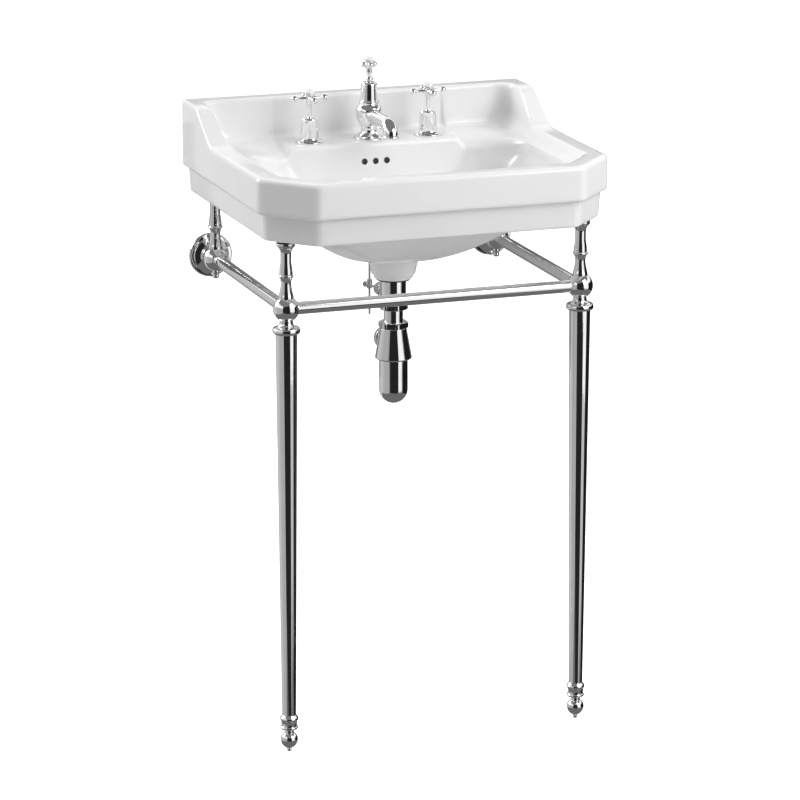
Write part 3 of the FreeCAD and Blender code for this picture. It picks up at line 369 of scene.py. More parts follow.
def six_sided(half, front, back, side_y, front_x, back_round, front_round, slant_x=1.0, slant_y=0.0,
              soft=1.0):
    """Plan rings with two cut corners in front, each corner an arc of its radius. At the wall the sides
    turn by another arc into a slant, which falls by slant_y over slant_x and meets the back in a soft
    valley. Every ring has the same number of points, counted along the back by fixed stations and along
    the other sides by equal shares, so rings lie over each other without a twist."""
    slant_x, slant_y, soft = (np.broadcast_to(value, half.shape) for value in (slant_x, slant_y, soft))
    shoulder = back - slant_y
    corners = np.stack([np.stack(c, -1) for c in ((half, shoulder), (-half, shoulder), (-half, side_y),
                                                   (-front_x, front), (front_x, front), (half, side_y))], 1)
    radius = np.stack([back_round, back_round] + [front_round] * 4, 1)[..., None]
    into = corners - np.roll(corners, 1, 1)
    into[:, 1] = np.stack([-slant_x, -slant_y], -1)
    into /= np.linalg.norm(into, axis=2, keepdims=True)
    out = np.roll(into, -1, 1)
    out[:, 0] = into[:, 1] * (1, -1)
    turn = np.arccos(np.clip((into * out).sum(2, keepdims=True), -1, 1))
    inward = np.stack([-into[..., 1], into[..., 0]], -1)
    centre = corners - into * radius * np.tan(turn / 2) + inward * radius
    angle = turn[:, :, None] * np.linspace(0, 1, 10)[:, None]
    arcs = centre[:, :, None] + radius[:, :, None] * (into[:, :, None] * np.sin(angle)
                                                      - inward[:, :, None] * np.cos(angle))
    end = arcs[:, 0, -1, 0]
    reach = np.minimum(1, 0.84 * end / back_stations[0])[:, None] * back_stations
    share = np.linspace(0, 1, 11)[1:-1]
    outer = end[:, None] + (reach[:, :1] - end[:, None]) * share
    back_x = np.concatenate([outer, reach, -outer[:, ::-1]], 1)
    past = np.abs(back_x) - (half - slant_x)[:, None]
    ramp = np.clip(past + soft[:, None], 0, 2 * soft[:, None]) ** 2 / (4 * soft[:, None])
    fall = (slant_y / slant_x)[:, None] * (ramp + np.maximum(past - soft[:, None], 0))
    rows = [arcs[:, 0], np.stack([back_x, back[:, None] - fall], -1)]
    for k, count in ((1, 84), (2, 13), (3, 72), (4, 13), (5, 84)):
        share = np.linspace(0, 1, count + 2)[1:-1, None]
        first, last = arcs[:, k, -1:], arcs[:, (k + 1) % 6, :1]
        rows += [arcs[:, k], first + (last - first) * share]
    ring = np.concatenate(rows, 1)
    return np.concatenate([ring, ring[:, :1]], 1)


def plan_family(back_round):
    """The casting's plan as a linear family: a ring, its change for each millimetre that the sides and
    front are drawn in, and its change for each millimetre that the back moves."""
    slant = math.hypot(cut_x, cut_y)
    nx, ny = cut_y / slant, -cut_x / slant
    inset, back = np.array((0.0, 20.0, 0.0)), np.array((wall_y, wall_y, wall_y - 20))
    line = nx * half_width + ny * (front_y + cut_y) - inset
    side, front = half_width - inset, front_y + inset
    rounds = np.full(3, 22.0)
    rings = six_sided(side, front, back, (line - nx * side) / ny, (line - ny * front) / nx,
                      np.full(3, back_round), rounds)
    return rings[0], (rings[1] - rings[0]) / 20, (rings[0] - rings[2]) / 20


def lay(family, inset, back=wall_y):
    """Plan points of a family at insets and back positions, one value or one for each point."""
    base, per_inset, per_back = family
    return base + np.asarray(inset)[..., None] * per_inset + (np.asarray(back)[..., None] - wall_y) * per_back


def level(plan, height):
    """Plan points with their heights."""
    return np.concatenate([plan, np.broadcast_to(height, plan.shape[:-1])[..., None]], -1)


def between(first, last, parts, ends=(True, True)):
    """Rows in equal shares from one row to another."""
    share = np.linspace(0, 1, parts)[0 if ends[0] else 1:parts if ends[1] else parts - 1]
    return first + (last - first) * share[:, None, None]


def rounding(first, corner, last, parts=7):
    """Rounded edge: the quadratic curve from one row to another that turns under a corner row."""
    t = np.linspace(0, 1, parts)[:, None, None]
    return (1 - t) ** 2 * first + 2 * t * (1 - t) * corner + t**2 * last


def towards(start, goal, reach):
    """Row moved from start towards goal by reach, at most 0.45 of the way."""
    step = goal - start
    length = np.linalg.norm(step, axis=-1, keepdims=True)
    return start + step * np.minimum(np.asarray(reach)[..., None] / np.maximum(length, 1e-6), 0.45)


def top_height(y):
    """Rim, wing and upstand seen from the side: two ramps with rounded ends, one up from the rim at 82
    and one levelling out at the top at 155."""
    slope = (upstand_z - rim_z) / 73
    ramp = [0.5 * (y - foot + np.sqrt((y - foot) ** 2 + soft**2)) for foot, soft in ((82, 11.5), (155, 7))]
    return rim_z + slope * (ramp[0] - ramp[1])


def wall_inset(z):
    """How far the inner wall is drawn in at a height: it leans by 17 in 14 below the rim and by 8 in 58
    above it, with a soft change between."""
    d = z - rim_z
    lean = np.array((17 / 14, 8 / 58))
    return 34 - lean.mean() * d + (lean[0] - lean[1]) / 2 * (np.sqrt(d**2 + 36) - 6)


def upstand_face(z, x):
    """Front face of the upstand: it leans back slightly, and its middle panel, 140 to each side, is
    recessed behind a bevel; the two are joined by a soft maximum."""
    d = z - rim_z
    face = 201 + np.where(d < 0, d * 2 / 14, d * 4 / 58)
    panel = 205 - 8 * np.clip((np.abs(x) - 140) / 10, 0, 1)
    return 0.5 * (face + panel + np.sqrt((face - panel) ** 2 + 0.6))


def soap_fall(x, y):
    """Fall of the slopes beside the tap ledge: 14 in 88 from the upstand to the bowl next to the ledge's
    soft edge, 137 to 149 from the middle, and ever less towards the sides and the front."""
    slope = 14 * np.clip((192 - y) / 88, 0, 1)
    across = smooth((np.abs(x) - 137) / 12) * smooth((215 - np.abs(x)) / 55)
    return slope * across * smooth((y - 20) / 60)


def bowl_fall(share):
    """Depth at a share of the way from the opening to the sump: a superellipse wall that runs out into a
    floor that falls ever more gently."""
    wall = (1 - (1 - share) ** bowl_fullness) ** (1 / bowl_fullness)
    return bowl_depth * ((1 - floor_fall) * wall + floor_fall * (1 - (1 - share) ** floor_bend))


def bowl_rings(share, grow):
    """Plan of the bowl at shares of the way in, drawn out by grow for the outside of the casting."""
    half = bowl_half + (sump_half - bowl_half) * share + grow
    front = bowl_front + (waste_y - sump_half - bowl_front) * share - grow
    back = bowl_back + (waste_y + sump_half - bowl_back) * share + grow
    cut = 52 * (1 - 0.55 * share)
    front_round = 30 * (1 - 0.55 * share)
    slant = 1 - 0.8 * share
    return six_sided(half, front, back, front + cut, half - cut, 96 * slant, front_round, 77 * slant,
                     34 * slant, 9 * slant)


def circle(radius, height):
    """Circle round the waste, its points in the directions of the sump's ring."""
    angle = np.arctan2(sump_ring[:, 1] - waste_y, sump_ring[:, 0])
    return level(np.stack([radius * np.cos(angle), waste_y + radius * np.sin(angle)], -1), height)


def deck_height(points):
    """Height of the deck round the bowl: level, less the fall of the soap slopes."""
    return deck_z - soap_fall(points[..., 0], points[..., 1])


def inner_wall(z, x):
    """Points of the inner wall and the upstand's face at heights z, with the panel's recess found by x."""
    return level(lay(inner_plan, wall_inset(z), upstand_face(z, x)), z)


sump_ring = bowl_rings(np.ones(1), 0)[0]
outer_plan, inner_plan = plan_family(5.0), plan_family(26.0)

ring_shares = np.linspace(0, 1, 70) ** bunching
inside = bowl_rings(ring_shares, 0)
opening = inside[0]
edge_fall = soap_fall(opening[:, 0], opening[:, 1])
at_ledge = smooth((150 - np.abs(opening[:, 0])) / 20) * smooth((opening[:, 1] - 90) / 20)
at_front = smooth((-90 - opening[:, 1]) / 60)
edge_depth = 15 - 6 * at_ledge - 7 * at_front
edge_share = np.interp(edge_depth, bowl_fall(ring_shares), ring_shares)
share = (1 - (1 - edge_share ** (1 / bunching)) * np.linspace(0, 1, 46)[:, None]) ** bunching
ring = np.clip(np.searchsorted(ring_shares, share) - 1, 0, len(ring_shares) - 2)
part = (share - ring_shares[ring]) / (ring_shares[ring + 1] - ring_shares[ring])
column = np.arange(opening.shape[0])
inside = inside[ring, column] + part[..., None] * (inside[ring + 1, column] - inside[ring, column])
depth = bowl_fall(share) + edge_fall * (1 - np.clip(bowl_fall(share) / 90, 0, 1)) ** 2
bowl = level(inside, deck_z - depth)

foot_plan = lay(inner_plan, *foot_guess)
foot_z = deck_height(foot_plan)
foot_of_wall = inner_wall(foot_z, foot_plan[:, 0])
bowl_edge = level(opening, deck_z - edge_fall)

# The crest's place and its height hang on each other, so each is worked out from the other a few times.
crest = lay(inner_plan, *crest_guess)
for _ in range(4):
    crest_z = top_height(crest[:, 1])
    crest = inner_wall(crest_z, crest[:, 0])
outer_edge = lay(outer_plan, 0.0)
outer_edge = level(outer_edge, top_height(outer_edge[:, 1]))

rise = crest_z - foot_z
foot_reach = np.minimum(7, 0.3 * rise)
crest_reach = np.minimum(6, 0.35 * rise)
share = np.linspace(0, 1, 20)[:, None]
wall_z = foot_z + foot_reach + (rise - foot_reach - crest_reach) * share
wall = inner_wall(wall_z, crest[:, 0])

edge_at = towards(bowl_edge, foot_of_wall, 15 - 6 * at_ledge - 5 * at_front)
deck_end = towards(foot_of_wall, bowl_edge, 9)
deck = between(edge_at, deck_end, 20, (False, False))
for rows in (edge_at, deck, deck_end):
    rows[..., 2] = deck_height(rows)

edge_reach = np.where(outer_edge[:, 1] > wall_y - 2, 5.0, 8.0)
top_in, top_out = towards(crest, outer_edge, 6), towards(outer_edge, crest, edge_reach)
top = between(top_in, top_out, 10, (False, False))
for rows in (top_in, top, top_out):
    rows[..., 2] = top_height(rows[..., 1])
flank_top = level(outer_edge[:, :2], outer_edge[:, 2] - edge_reach)

step_out = level(lay(outer_plan, 0.0), step_z)
step_in = level(lay(outer_plan, step_inset), step_z)
apron = level(lay(outer_plan, apron_inset), apron_z)
skirt_foot = level(lay(inner_plan, skirt_inset, skirt_back), apron_z)
ceiling_edge = level(lay(inner_plan, skirt_inset, skirt_back), ceiling_z)


def ceiling(points):
    """Height of the underside between the skirt and the bowl: level, and raised under the tap ledge."""
    x, y = points[..., 0], points[..., 1]
    return ceiling_z + (ledge_under - ceiling_z) * smooth((131 - np.abs(x)) / 6) * smooth((y - 112) / 5)


share = np.linspace(0.08, 1, 34) ** bunching
outside = level(bowl_rings(share, ceramic), deck_z - ceramic - bowl_fall(share)[:, None])
dome_top = outside[0].copy()
dome_top[:, 2], ceiling_edge[:, 2] = ceiling(dome_top), ceiling(ceiling_edge)
roof_out, roof_in = towards(ceiling_edge, dome_top, 5), towards(dome_top, ceiling_edge, 5)
roof = between(roof_out, roof_in, 8, (False, False))
roof[..., 2] = ceiling(roof)

boss_drop, hole_radius = 34.7, 22.5
boss_z = sump_z - ceramic - boss_drop
boss_top, boss_foot = circle(40, sump_z - ceramic), circle(34.2, boss_z + 6.8)
boss_lip, boss_low = circle(31, boss_z + 6.2), circle(30, boss_z)
hole_low, hole_top = circle(hole_radius, boss_z), circle(hole_radius, sump_z)
lip_rise = 5
lip_inset = apron_inset - (apron_inset - step_inset) * lip_rise / (step_z - apron_z)
lip = level(lay(outer_plan, lip_inset), apron_z + lip_rise)
casting = np.concatenate([
    between(hole_low, hole_top, 4),
    between(hole_top, bowl[0], 6, (False, False)),
    bowl,
    rounding(bowl[-1], bowl_edge, edge_at),
    deck,
    rounding(deck_end, foot_of_wall, wall[0]),
    wall[1:-1],
    rounding(wall[-1], crest, top_in),
    top,
    rounding(top_out, outer_edge, flank_top, 9),
    between(flank_top, step_out + (0, 0, 5), 8, (False, False)),
    rounding(step_out + (0, 0, 5), step_out, towards(step_out, step_in, 4.2)),
    rounding(towards(step_in, step_out, 1.6), step_in, towards(step_in, lip, 1.6), 5),
    between(towards(step_in, lip, 1.6), lip, 9, (False, False)),
    rounding(lip, apron, towards(apron, skirt_foot, 5)),
    rounding(towards(skirt_foot, apron, 2), skirt_foot, towards(skirt_foot, ceiling_edge, 2), 4),
    rounding(towards(ceiling_edge, skirt_foot, 6), ceiling_edge, roof_out, 5),
    roof,
    rounding(roof_in, dome_top, outside[1], 5),
    outside[2:-1],
    rounding(outside[-1], boss_top, towards(boss_top, boss_foot, 8), 7),
    rounding(towards(boss_foot, boss_top, 1.4), boss_foot, towards(boss_foot, boss_lip, 1.2), 5),
    rounding(towards(boss_lip, boss_foot, 1), boss_lip, towards(boss_lip, boss_low, 1), 4),
    rounding(towards(boss_low, boss_lip, 1.6), boss_low, towards(boss_low, hole_low, 1.6), 6),
    hole_low[None],
])
landing = turned((0, 0), (20, 0), (20, 48), (0, 48), ease=1.0, turns=48)
grids = [casting] + [placed(landing, (x, y, apron_z)) for _, x in sides for y in (leg_y, rear_y)]

glaze, tree, skin, where = new_finish("white_glaze", (0.80, 0.80, 0.795), 0.1)
tints(tree, spots(tree, where, 9, 5, 0.55), (0.785, 0.785, 0.78), (0.815, 0.815, 0.812),
      skin.inputs["Base Color"])
spread(tree, spots(tree, where, 60, 4), 0.07, 0.13, skin.inputs["Roughness"])
relief(tree, spots(tree, where, 16, 2), 0.00025, skin)
basin = piece("basin_glazed", grids, glaze, "glaze", "washstand", "basin", crease=glaze_crease)


def drilled(target, drills, lining):
    """Round holes taken out of a casting: each drill is a closed cylinder of a radius from one point to
    another, the solid difference is applied to the mesh, and the holes' walls take the lining material given,
    which is either the casting's own glaze or a dark grey painted shade for holes that should look deep."""
    grids = []
    for radius, start, end in drills:
        axis = np.array(end, float) - np.array(start, float)
        length = float(np.linalg.norm(axis))
        plug = turned((0, 0), (radius, 0), (radius, length), (0, length), ease=0, turns=48)
        grids.append(placed(plug, start, axis))
    cutter = piece("drills", grids, lining, "glaze", "washstand")
    cut = target.modifiers.new("holes", "BOOLEAN")
    cut.object, cut.operation, cut.solver = cutter, "DIFFERENCE", "EXACT"
    cut.material_mode = "TRANSFER"
    whole = bpy.context.evaluated_depsgraph_get()
    mesh = bpy.data.meshes.new_from_object(target.evaluated_get(whole))
    target.modifiers.clear()
    target.data = mesh
    bpy.data.objects.remove(cutter)
    mesh.polygons.foreach_set("use_smooth", np.ones(len(mesh.polygons), bool))
    mesh.set_sharp_from_angle(angle=math.radians(glaze_crease))


tap_y, tap_x = 147.0, 98.0
tap_places = (-tap_x, 0, tap_x)
overflow_z, overflow_pitch = deck_z - 30, 18.3
bolt_z, bolt_x = rim_z - 62, 140
overflow_radius, bolt_radius, tap_radius = 5.0, 7.0, 12.0
overflow = [(overflow_radius, (x, waste_y + 60, overflow_z), (x, bowl_back + 7, overflow_z))
            for x in (-overflow_pitch, 0, overflow_pitch)]
wall_bolts = [(bolt_radius, (x, wall_y + 5, bolt_z), (x, wall_y - 26, bolt_z)) for x in (-bolt_x, bolt_x)]
tap_holes = [(tap_radius, (x, tap_y, deck_z + 12), (x, tap_y, ledge_under - 12)) for x in tap_places]
# The overflow holes' walls are a dark grey with cloudy tints: painted shade for the dark hollow behind them,
# not the ceramic's own colour.
bore_painted_shade, tree, skin, where = new_finish("unlit_bore", (0.28, 0.28, 0.275), 0.5)
tints(tree, spots(tree, where, 200, 3), (0.24, 0.24, 0.235), (0.32, 0.32, 0.315), skin.inputs["Base Color"])
drilled(basin, overflow, bore_painted_shade)
drilled(basin, wall_bolts + tap_holes, glaze)

# Valves under the ledge. Two side valves in rough-turned brass stand through the ledge on threaded tails;
# rubber washers and hexagon back nuts clamp them and the spout, and pipes join their plain inlets.

brass, tree, skin, where = new_finish("turned_brass", (0.62, 0.44, 0.18), 0.3, 1.0)
tints(tree, spots(tree, where, 60, 4), (0.55, 0.38, 0.15), (0.68, 0.49, 0.22), skin.inputs["Base Color"])
spread(tree, spots(tree, where, 240, 4), 0.22, 0.4, skin.inputs["Roughness"])
relief(tree, spots(tree, where, 600, 3), 0.00004, skin)


def nut(flats, low, high, bore, corner=1.2):
    """Hexagon nut: the radius is half the flats over the cosine of the angle from the nearest flat, cut
    back to a cone at both ends so that the corners are turned; the bore runs through."""
    angle = np.linspace(0, 2 * math.pi, 193)
    flat = flats / 2 / np.cos((angle + math.pi / 6) % (math.pi / 3) - math.pi / 6)
    flat = np.minimum(flat, flats / 2 * 1.14)
    cone = flats / 2 - 0.4
    levels = [(low, cone), (low + corner * 0.5, cone + corner), (low + corner, cone + 2.4 * corner),
              (high - corner, cone + 2.4 * corner), (high - corner * 0.5, cone + corner), (high, cone)]
    rows = [(low, np.full(angle.size, bore))]
    rows += [(z, np.minimum(flat, limit)) for z, limit in levels]
    rows += [(high, np.full(angle.size, bore)), (low, np.full(angle.size, bore))]
    return np.stack([level(np.stack([r * np.cos(angle), r * np.sin(angle)], -1), z) for z, r in rows])


def sleeve(inner, outer, low, high, ease=0.4, turns=96):
    """Plain ring or tube: a closed rectangle of wall carried round the axis."""
    return turned((inner, low), (outer, low), (outer, high), (inner, high), (inner, low), ease=ease,
                  turns=turns)


inlet = turned((6.6, -70), (6.6, -78), (10.4, -78), (10.4, -63), (9.4, -62.4), (0, -62.4), (0, -70),
               (6.6, -70), ease=0.5)
tail = screw_thread(10.9, 1.6, -62.5, -0.2, 0.6)
body_above = turned((0, -0.3), (11.5, -0.3), (11.5, 30), (7, 30.4), (7, 34), (0, 34), ease=0.5)
nipple = turned((0, 0), (6.2, 0), (6.2, 31.4), (5, 32.9), (0, 32.9), ease=0.5, turns=64)
nipple_drop = 56
taps = (("hot", -tap_x), ("cold", tap_x))
for side, x in taps:
    here = (x, tap_y, deck_z)
    grids = [placed(part, here) for part in (inlet, tail, body_above)]
    grids.append(placed(nipple, (x, tap_y, deck_z - nipple_drop), (-math.copysign(1, x), 0, 0)))
    piece(f"{side}_valve_machined", grids, brass, "brass", "washstand", f"{side}_valve")
washer_low, nut_low = ledge_under - 4, ledge_under - 12.5
washers = [placed(sleeve(11.2, 16.5, washer_low, ledge_under), (x, tap_y, 0)) for x in tap_places]
piece("deck_washers_moulded", washers, rubber, "rubber", "washstand", "deck_washers")
nuts = [placed(nut(27, nut_low, washer_low, 11.0), (x, tap_y, 0)) for x in tap_places]
piece("back_nuts_machined", nuts, brass, "brass", "washstand", "back_nuts")

# Tap shrouds and handles. A spun and chromed cover with a wide foot hides each valve; a slender chromed
# spindle carries a turned hub with four tapering arms, a ball on each, and a white ceramic button on top.

shroud = turned((21, 0), (22.7, 0), (22.7, 1.4), (21.9, 3.1, 19.7, 3.8), (15.8, 4.8, 14.3, 7.5), (13.6, 22),
                (12.9, 36.2), (12, 38.7, 9.5, 39.6), (5.1, 39.6), (5.1, 37.6), (11.7, 36), (12.4, 6),
                (21, 1.2), (21, 0), ease=0.35)
spindle = turned((0, 34.1), (3.9, 34.1), (3.9, 39), (3.7, 48), (3.9, 62), (0, 62), ease=0.3, turns=64)
hub = turned((0, 59.5), (4.4, 59.5), (5.1, 60.2), (5.4, 63, 6.8, 66.6), (7.3, 70, 6.8, 73.4), (8.4, 75.3),
             (8.4, 76.45), (0, 76.45), ease=0.35, turns=64)
arm_height = 70
arm_ways = ((1, 0, 0), (-1, 0, 0), (0, 1, 0), (0, -1, 0))
arm = turned((0, 1), (4.4, 2), (4.2, 4.6), (3.0, 9, 2.15, 13.5), (1.75, 18), (1.75, 19.82),
             (5, 24.5, 0, 29.5), ease=0.3, turns=48, parts=24)
button_shape = turned((0, 76.5), (7.6, 76.5), (8, 77), (8, 79.4), (6.1, 82.3, 0, 84.8), ease=0.3, turns=64,
                      parts=20)
china, tree, skin, where = new_finish("white_button_china", (0.82, 0.82, 0.81), 0.12)
tints(tree, spots(tree, where, 160, 3), (0.80, 0.80, 0.79), (0.84, 0.84, 0.835), skin.inputs["Base Color"])
spread(tree, spots(tree, where, 300, 3), 0.08, 0.16, skin.inputs["Roughness"])
for side, x in taps:
    here = (x, tap_y, deck_z)
    polished(f"{side}_shroud", [placed(shroud, here)])
    polished(f"{side}_spindle", [placed(spindle, here)], f"{side}_handle")
    grids = [placed(hub, here)] + [placed(arm, (x, tap_y, deck_z + arm_height), way) for way in arm_ways]
    polished(f"{side}_handle", grids, f"{side}_handle")
    piece(f"{side}_button_glazed", [placed(button_shape, here)], china, "button", f"{side}_handle",
          f"{side}_button")

# Spout. A cast brass pillar, waisted and bulged, with a stout arm that turns down to the mouth, ground,
# polished and chromed; a small flow ring with a cross grille is pressed into the mouth.


def swept(path, radius, turns=72):
    """Round bar along a path in the upright plane x = 0: circles of one radius stand square to the path's
    own direction, and both ends are closed."""
    ahead = np.gradient(path, axis=0)
    ahead /= np.linalg.norm(ahead, axis=1, keepdims=True)
    across = np.stack([np.zeros(len(path)), -ahead[:, 2], ahead[:, 1]], -1)
    angle = np.linspace(0, 2 * math.pi, turns + 1)
    sideways = np.cos(angle)[None, :, None] * np.array((1.0, 0, 0))
    ring = sideways + np.sin(angle)[None, :, None] * across[:, None]
    ends = [np.repeat(path[end, None, None], turns + 1, 1) for end in (0, -1)]
    return np.concatenate([ends[0], path[:, None] + ring * radius, ends[1]])


spout_body = turned((22.4, 0), (24.4, 0), (24.4, 1.6), (23.6, 3.2, 21.4, 3.8), (15.1, 8.5, 12.7, 17.9),
                    (17.3, 27.4, 20.9, 41.7), (19.3, 49.8, 14.8, 55), (16, 57.3, 15, 59.6), (0, 59.6), (0, 4),
                    (22.4, 1.5), (22.4, 0), ease=0.4, turns=128)
spout_height, spout_bend, mouth_reach = 38.0, 17, 105.0
bend = np.linspace(0, math.pi / 2, 25)[1:]
straight = np.linspace(8, mouth_reach - spout_bend, 28)
reach = np.concatenate([straight, straight[-1] + spout_bend * np.sin(bend), np.full(3, mouth_reach)])
drop = np.concatenate([np.full(28, spout_height), spout_height - spout_bend * (1 - np.cos(bend)),
                       (20.6, 20.2, 19.8)])
spout_arm = swept(np.stack([np.zeros(reach.size), -reach, drop], -1), 11.6)
lip_ring = turned((8.6, 26), (8.6, 19), (12.2, 19), (12.8, 21, 12.2, 23.4), (11, 24.5), (11, 26), (8.6, 26),
                  ease=0.4, turns=72)
spout_foot, mouth = (0, tap_y, deck_z), (0, tap_y - mouth_reach, deck_z)
grids = [placed(spout_body, spout_foot), spout_arm + np.array(spout_foot), placed(lip_ring, mouth)]
polished("spout", grids)

grille, tree, skin, where = new_finish("grille_plastic", (0.55, 0.55, 0.56), 0.45)
tints(tree, spots(tree, where, 500, 3), (0.5, 0.5, 0.51), (0.6, 0.6, 0.6), skin.inputs["Base Color"])
relief(tree, spots(tree, where, 1800, 2), 0.00004, skin)
bar = sleeve(0, 0.9, -7.6, 7.6, turns=24)
grille_z = deck_z + 24
grids = [placed(sleeve(6.95, 8.55, 18.9, 31.35, turns=72), mouth)]
grids += [placed(bar, (*mouth[:2], grille_z), way) for way in ((1, 0, 0), (0, 1, 0))]
piece("spout_outlet_moulded", grids, grille, "grille", "washstand", "spout_outlet")

# Bonnet and pop-up control. A tapered chromed bonnet and a small round guide nut close the top of the spout;
# through them runs the lift rod, with a four-lobed lifting knob and a white button on top.

bonnet_z, guide_z, knob_z, cap_z = 945.1, 975.7, 983.98, 1008.98
bonnet = turned((0, 0), (14.1, 0), (14.1, 1.2), (13.1, 2.4), (12.65, 14), (12.2, 25.6),
                (10.9, 29.1, 7.8, 30.6), (0, 30.6), ease=0.35)
guide = turned((0, 0), (4.2, 0), (5.9, 4.1, 4.2, 8.2), (1.9, 8.2), (0, 8.2), ease=0.3, turns=64)
knob_stem = turned((0, 0), (3.0, 0), (3.4, 0.5), (3.6, 2), (4.3, 6.5), (3.9, 12), (5.5, 13.75, 7, 18),
                   (8.5, 24.6), (8.1, 25), (0, 25), ease=0.35, turns=64)
lobe = turned((0, -4.6), (4.6, 0, 0, 4.6), parts=32, turns=48)
lobe_reach, lobe_height = 8.1, 19.25
lobes = [placed(lobe, (lobe_reach * a, lobe_reach * b, lobe_height)) for a, b, _ in arm_ways]
lift_cap = turned((0, 0), (7.6, 0), (8, 0.4), (8, 2.6), (6.2, 4.7, 0, 6), ease=0.3, turns=64, parts=20)
steel, tree, skin, where = new_finish("drawn_steel", (0.58, 0.58, 0.59), 0.22, 1.0)
tints(tree, spots(tree, where, 90, 3), (0.53, 0.53, 0.545), (0.63, 0.63, 0.635), skin.inputs["Base Color"])
spread(tree, spots(tree, where, 420, 4), 0.16, 0.3, skin.inputs["Roughness"])
polished("spout_bonnet", [placed(bonnet, (0, tap_y, bonnet_z))])
polished("lift_guide", [placed(guide, (0, tap_y, guide_z))])
grids = [placed(part, (0, tap_y, knob_z)) for part in [knob_stem] + lobes]
polished("lift_knob", grids, "lift_knob")
piece("lift_button_glazed", [placed(lift_cap, (0, tap_y, cap_z))], china, "button", "lift_knob",
      "lift_button")
lift_rod = turned((0, 602), (1.3, 602), (1.7, 602.4), (1.7, 990), (0, 990), ease=0.15, turns=32)
piece("lift_rod_drawn", [placed(lift_rod, (0, tap_y, 0))], steel, "steel", "lift_knob", "lift_rod")

# Waste. A chromed brass flange and tube clamp the ceramic boss with a rubber seal and the waste body below;
# the plug rides on the end of a pivot rod that passes through a side port under a knurled round nut.

seal_z, body_low, port_z, port_end = 684.3, 648.1, 657.5, 54.0
waste_axis = (0, waste_y, 0)
joint_z, joint_x = 651.5, -6.4
waste_rim = turned((15.5, 668), (17.5, 668), (17.5, 733.5), (31.6, 733.5), (32, 734), (31.2, 736, 28.6, 737),
                   (21.6, 736.4), (19, 734.4, 15.5, 729.6), (15.5, 668), ease=0.4)
polished("waste_flange", [placed(waste_rim, waste_axis)])
grids = [placed(sleeve(17.6, 27, seal_z, boss_z, 0.6), waste_axis)]
piece("waste_seal_moulded", grids, rubber, "rubber", "washstand", "waste_seal")
port_turn = math.atan(-joint_x / (tap_y - waste_y))
port_way = (-math.sin(port_turn), math.cos(port_turn), 0)
body_shell = sleeve(17.6, 20, body_low, seal_z, 0.6)
port = sleeve(5.0, 8.4, 17.8, port_end, turns=72)
grids = [placed(body_shell, waste_axis), placed(port, (0, waste_y, port_z), port_way)]
polished("waste_body", grids)


def knurled(radius, low, high, grooves, depth, bore):
    """Grooved round nut: the radius dips by depth once for each groove round the edge, as a rectified
    cosine, and draws in to a smooth ring at both ends."""
    angle = np.linspace(0, 2 * math.pi, grooves * 12 + 1)
    dip = depth * np.abs(np.cos(angle * grooves / 2)) ** 6
    rows = [(low, bore, 0), (low, radius - 1, 0), (low + 0.6, radius - 0.2, 0), (low + 1.6, radius, 0.2)]
    rows += [(low + 3, radius, 1), (high - 3, radius, 1), (high - 1.6, radius, 0.2)]
    rows += [(high - 0.6, radius - 0.2, 0), (high, radius - 1, 0), (high, bore, 0), (low, bore, 0)]
    edge = np.stack([np.cos(angle), np.sin(angle)], -1)
    return np.stack([level((r - w * dip)[:, None] * edge, z) for z, r, w in rows])


grids = [placed(knurled(10.6, port_end - 11, port_end + 4, 20, 0.8, 4.0), (0, waste_y, port_z), port_way)]
polished("pivot_nut", grids)
tilt = math.radians(-5.6)
pivot = np.array((0, waste_y, port_z)) + port_end * np.array(port_way)
rod_way = np.array((port_way[0] * math.cos(tilt), port_way[1] * math.cos(tilt), math.sin(tilt)))
pivot_bar = turned((0, -59), (1.3, -59), (1.9, -58.2), (1.9, 0), (1.9, 70.6), (1.3, 71.3), (0, 71.3),
                   ease=0.2, turns=32)
pivot_ball = turned((0, -4.8), (4.8, 0, 0, 4.8), parts=28, turns=48)
grids = [placed(pivot_bar, pivot, rod_way), placed(pivot_ball, pivot, rod_way)]
piece("pivot_rod_drawn", grids, steel, "steel", "pivot_rod", "pivot_rod")
plug_height = 7
cup_plug = turned((0, 0), (18.6, 0), (20.4, 1.6), (21, 3.2), (20.7, 4.8), (18.6, 6.2, 12, 6.8),
                  (0, plug_height), ease=0.5)
plug_low, plug_high = (float(corner[2]) * 1000 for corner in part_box("waste_plug"))
plug_z = plug_high - plug_height
stem = turned((0, plug_low), (4.2, plug_low), (5, plug_low + 0.8), (5, plug_z + 1), (0, plug_z + 1),
              ease=0.3, turns=48)
grids = [placed(cup_plug, (0, waste_y, plug_z)), placed(stem, waste_axis)]
polished("waste_plug", grids, "waste_plug")
clamp = sleeve(1.8, 4.2, -7, 7, turns=48)
ear = sleeve(2.4, 4.7, -1.6, 1.6, 0.3, turns=48)
grids = [placed(clamp, (0, tap_y, joint_z)), placed(ear, (joint_x, tap_y, joint_z), (0, 1, 0))]
piece("rod_joint_machined", grids, steel, "steel", "lift_knob", "rod_joint")

# Bottle trap. Chromed brass: a hexagon nut on the waste, a drawn dip tube, a hexagon nut on the cast cup
# with its side branch and round outlet nut, and a spun bottle with a round end that unscrews below.

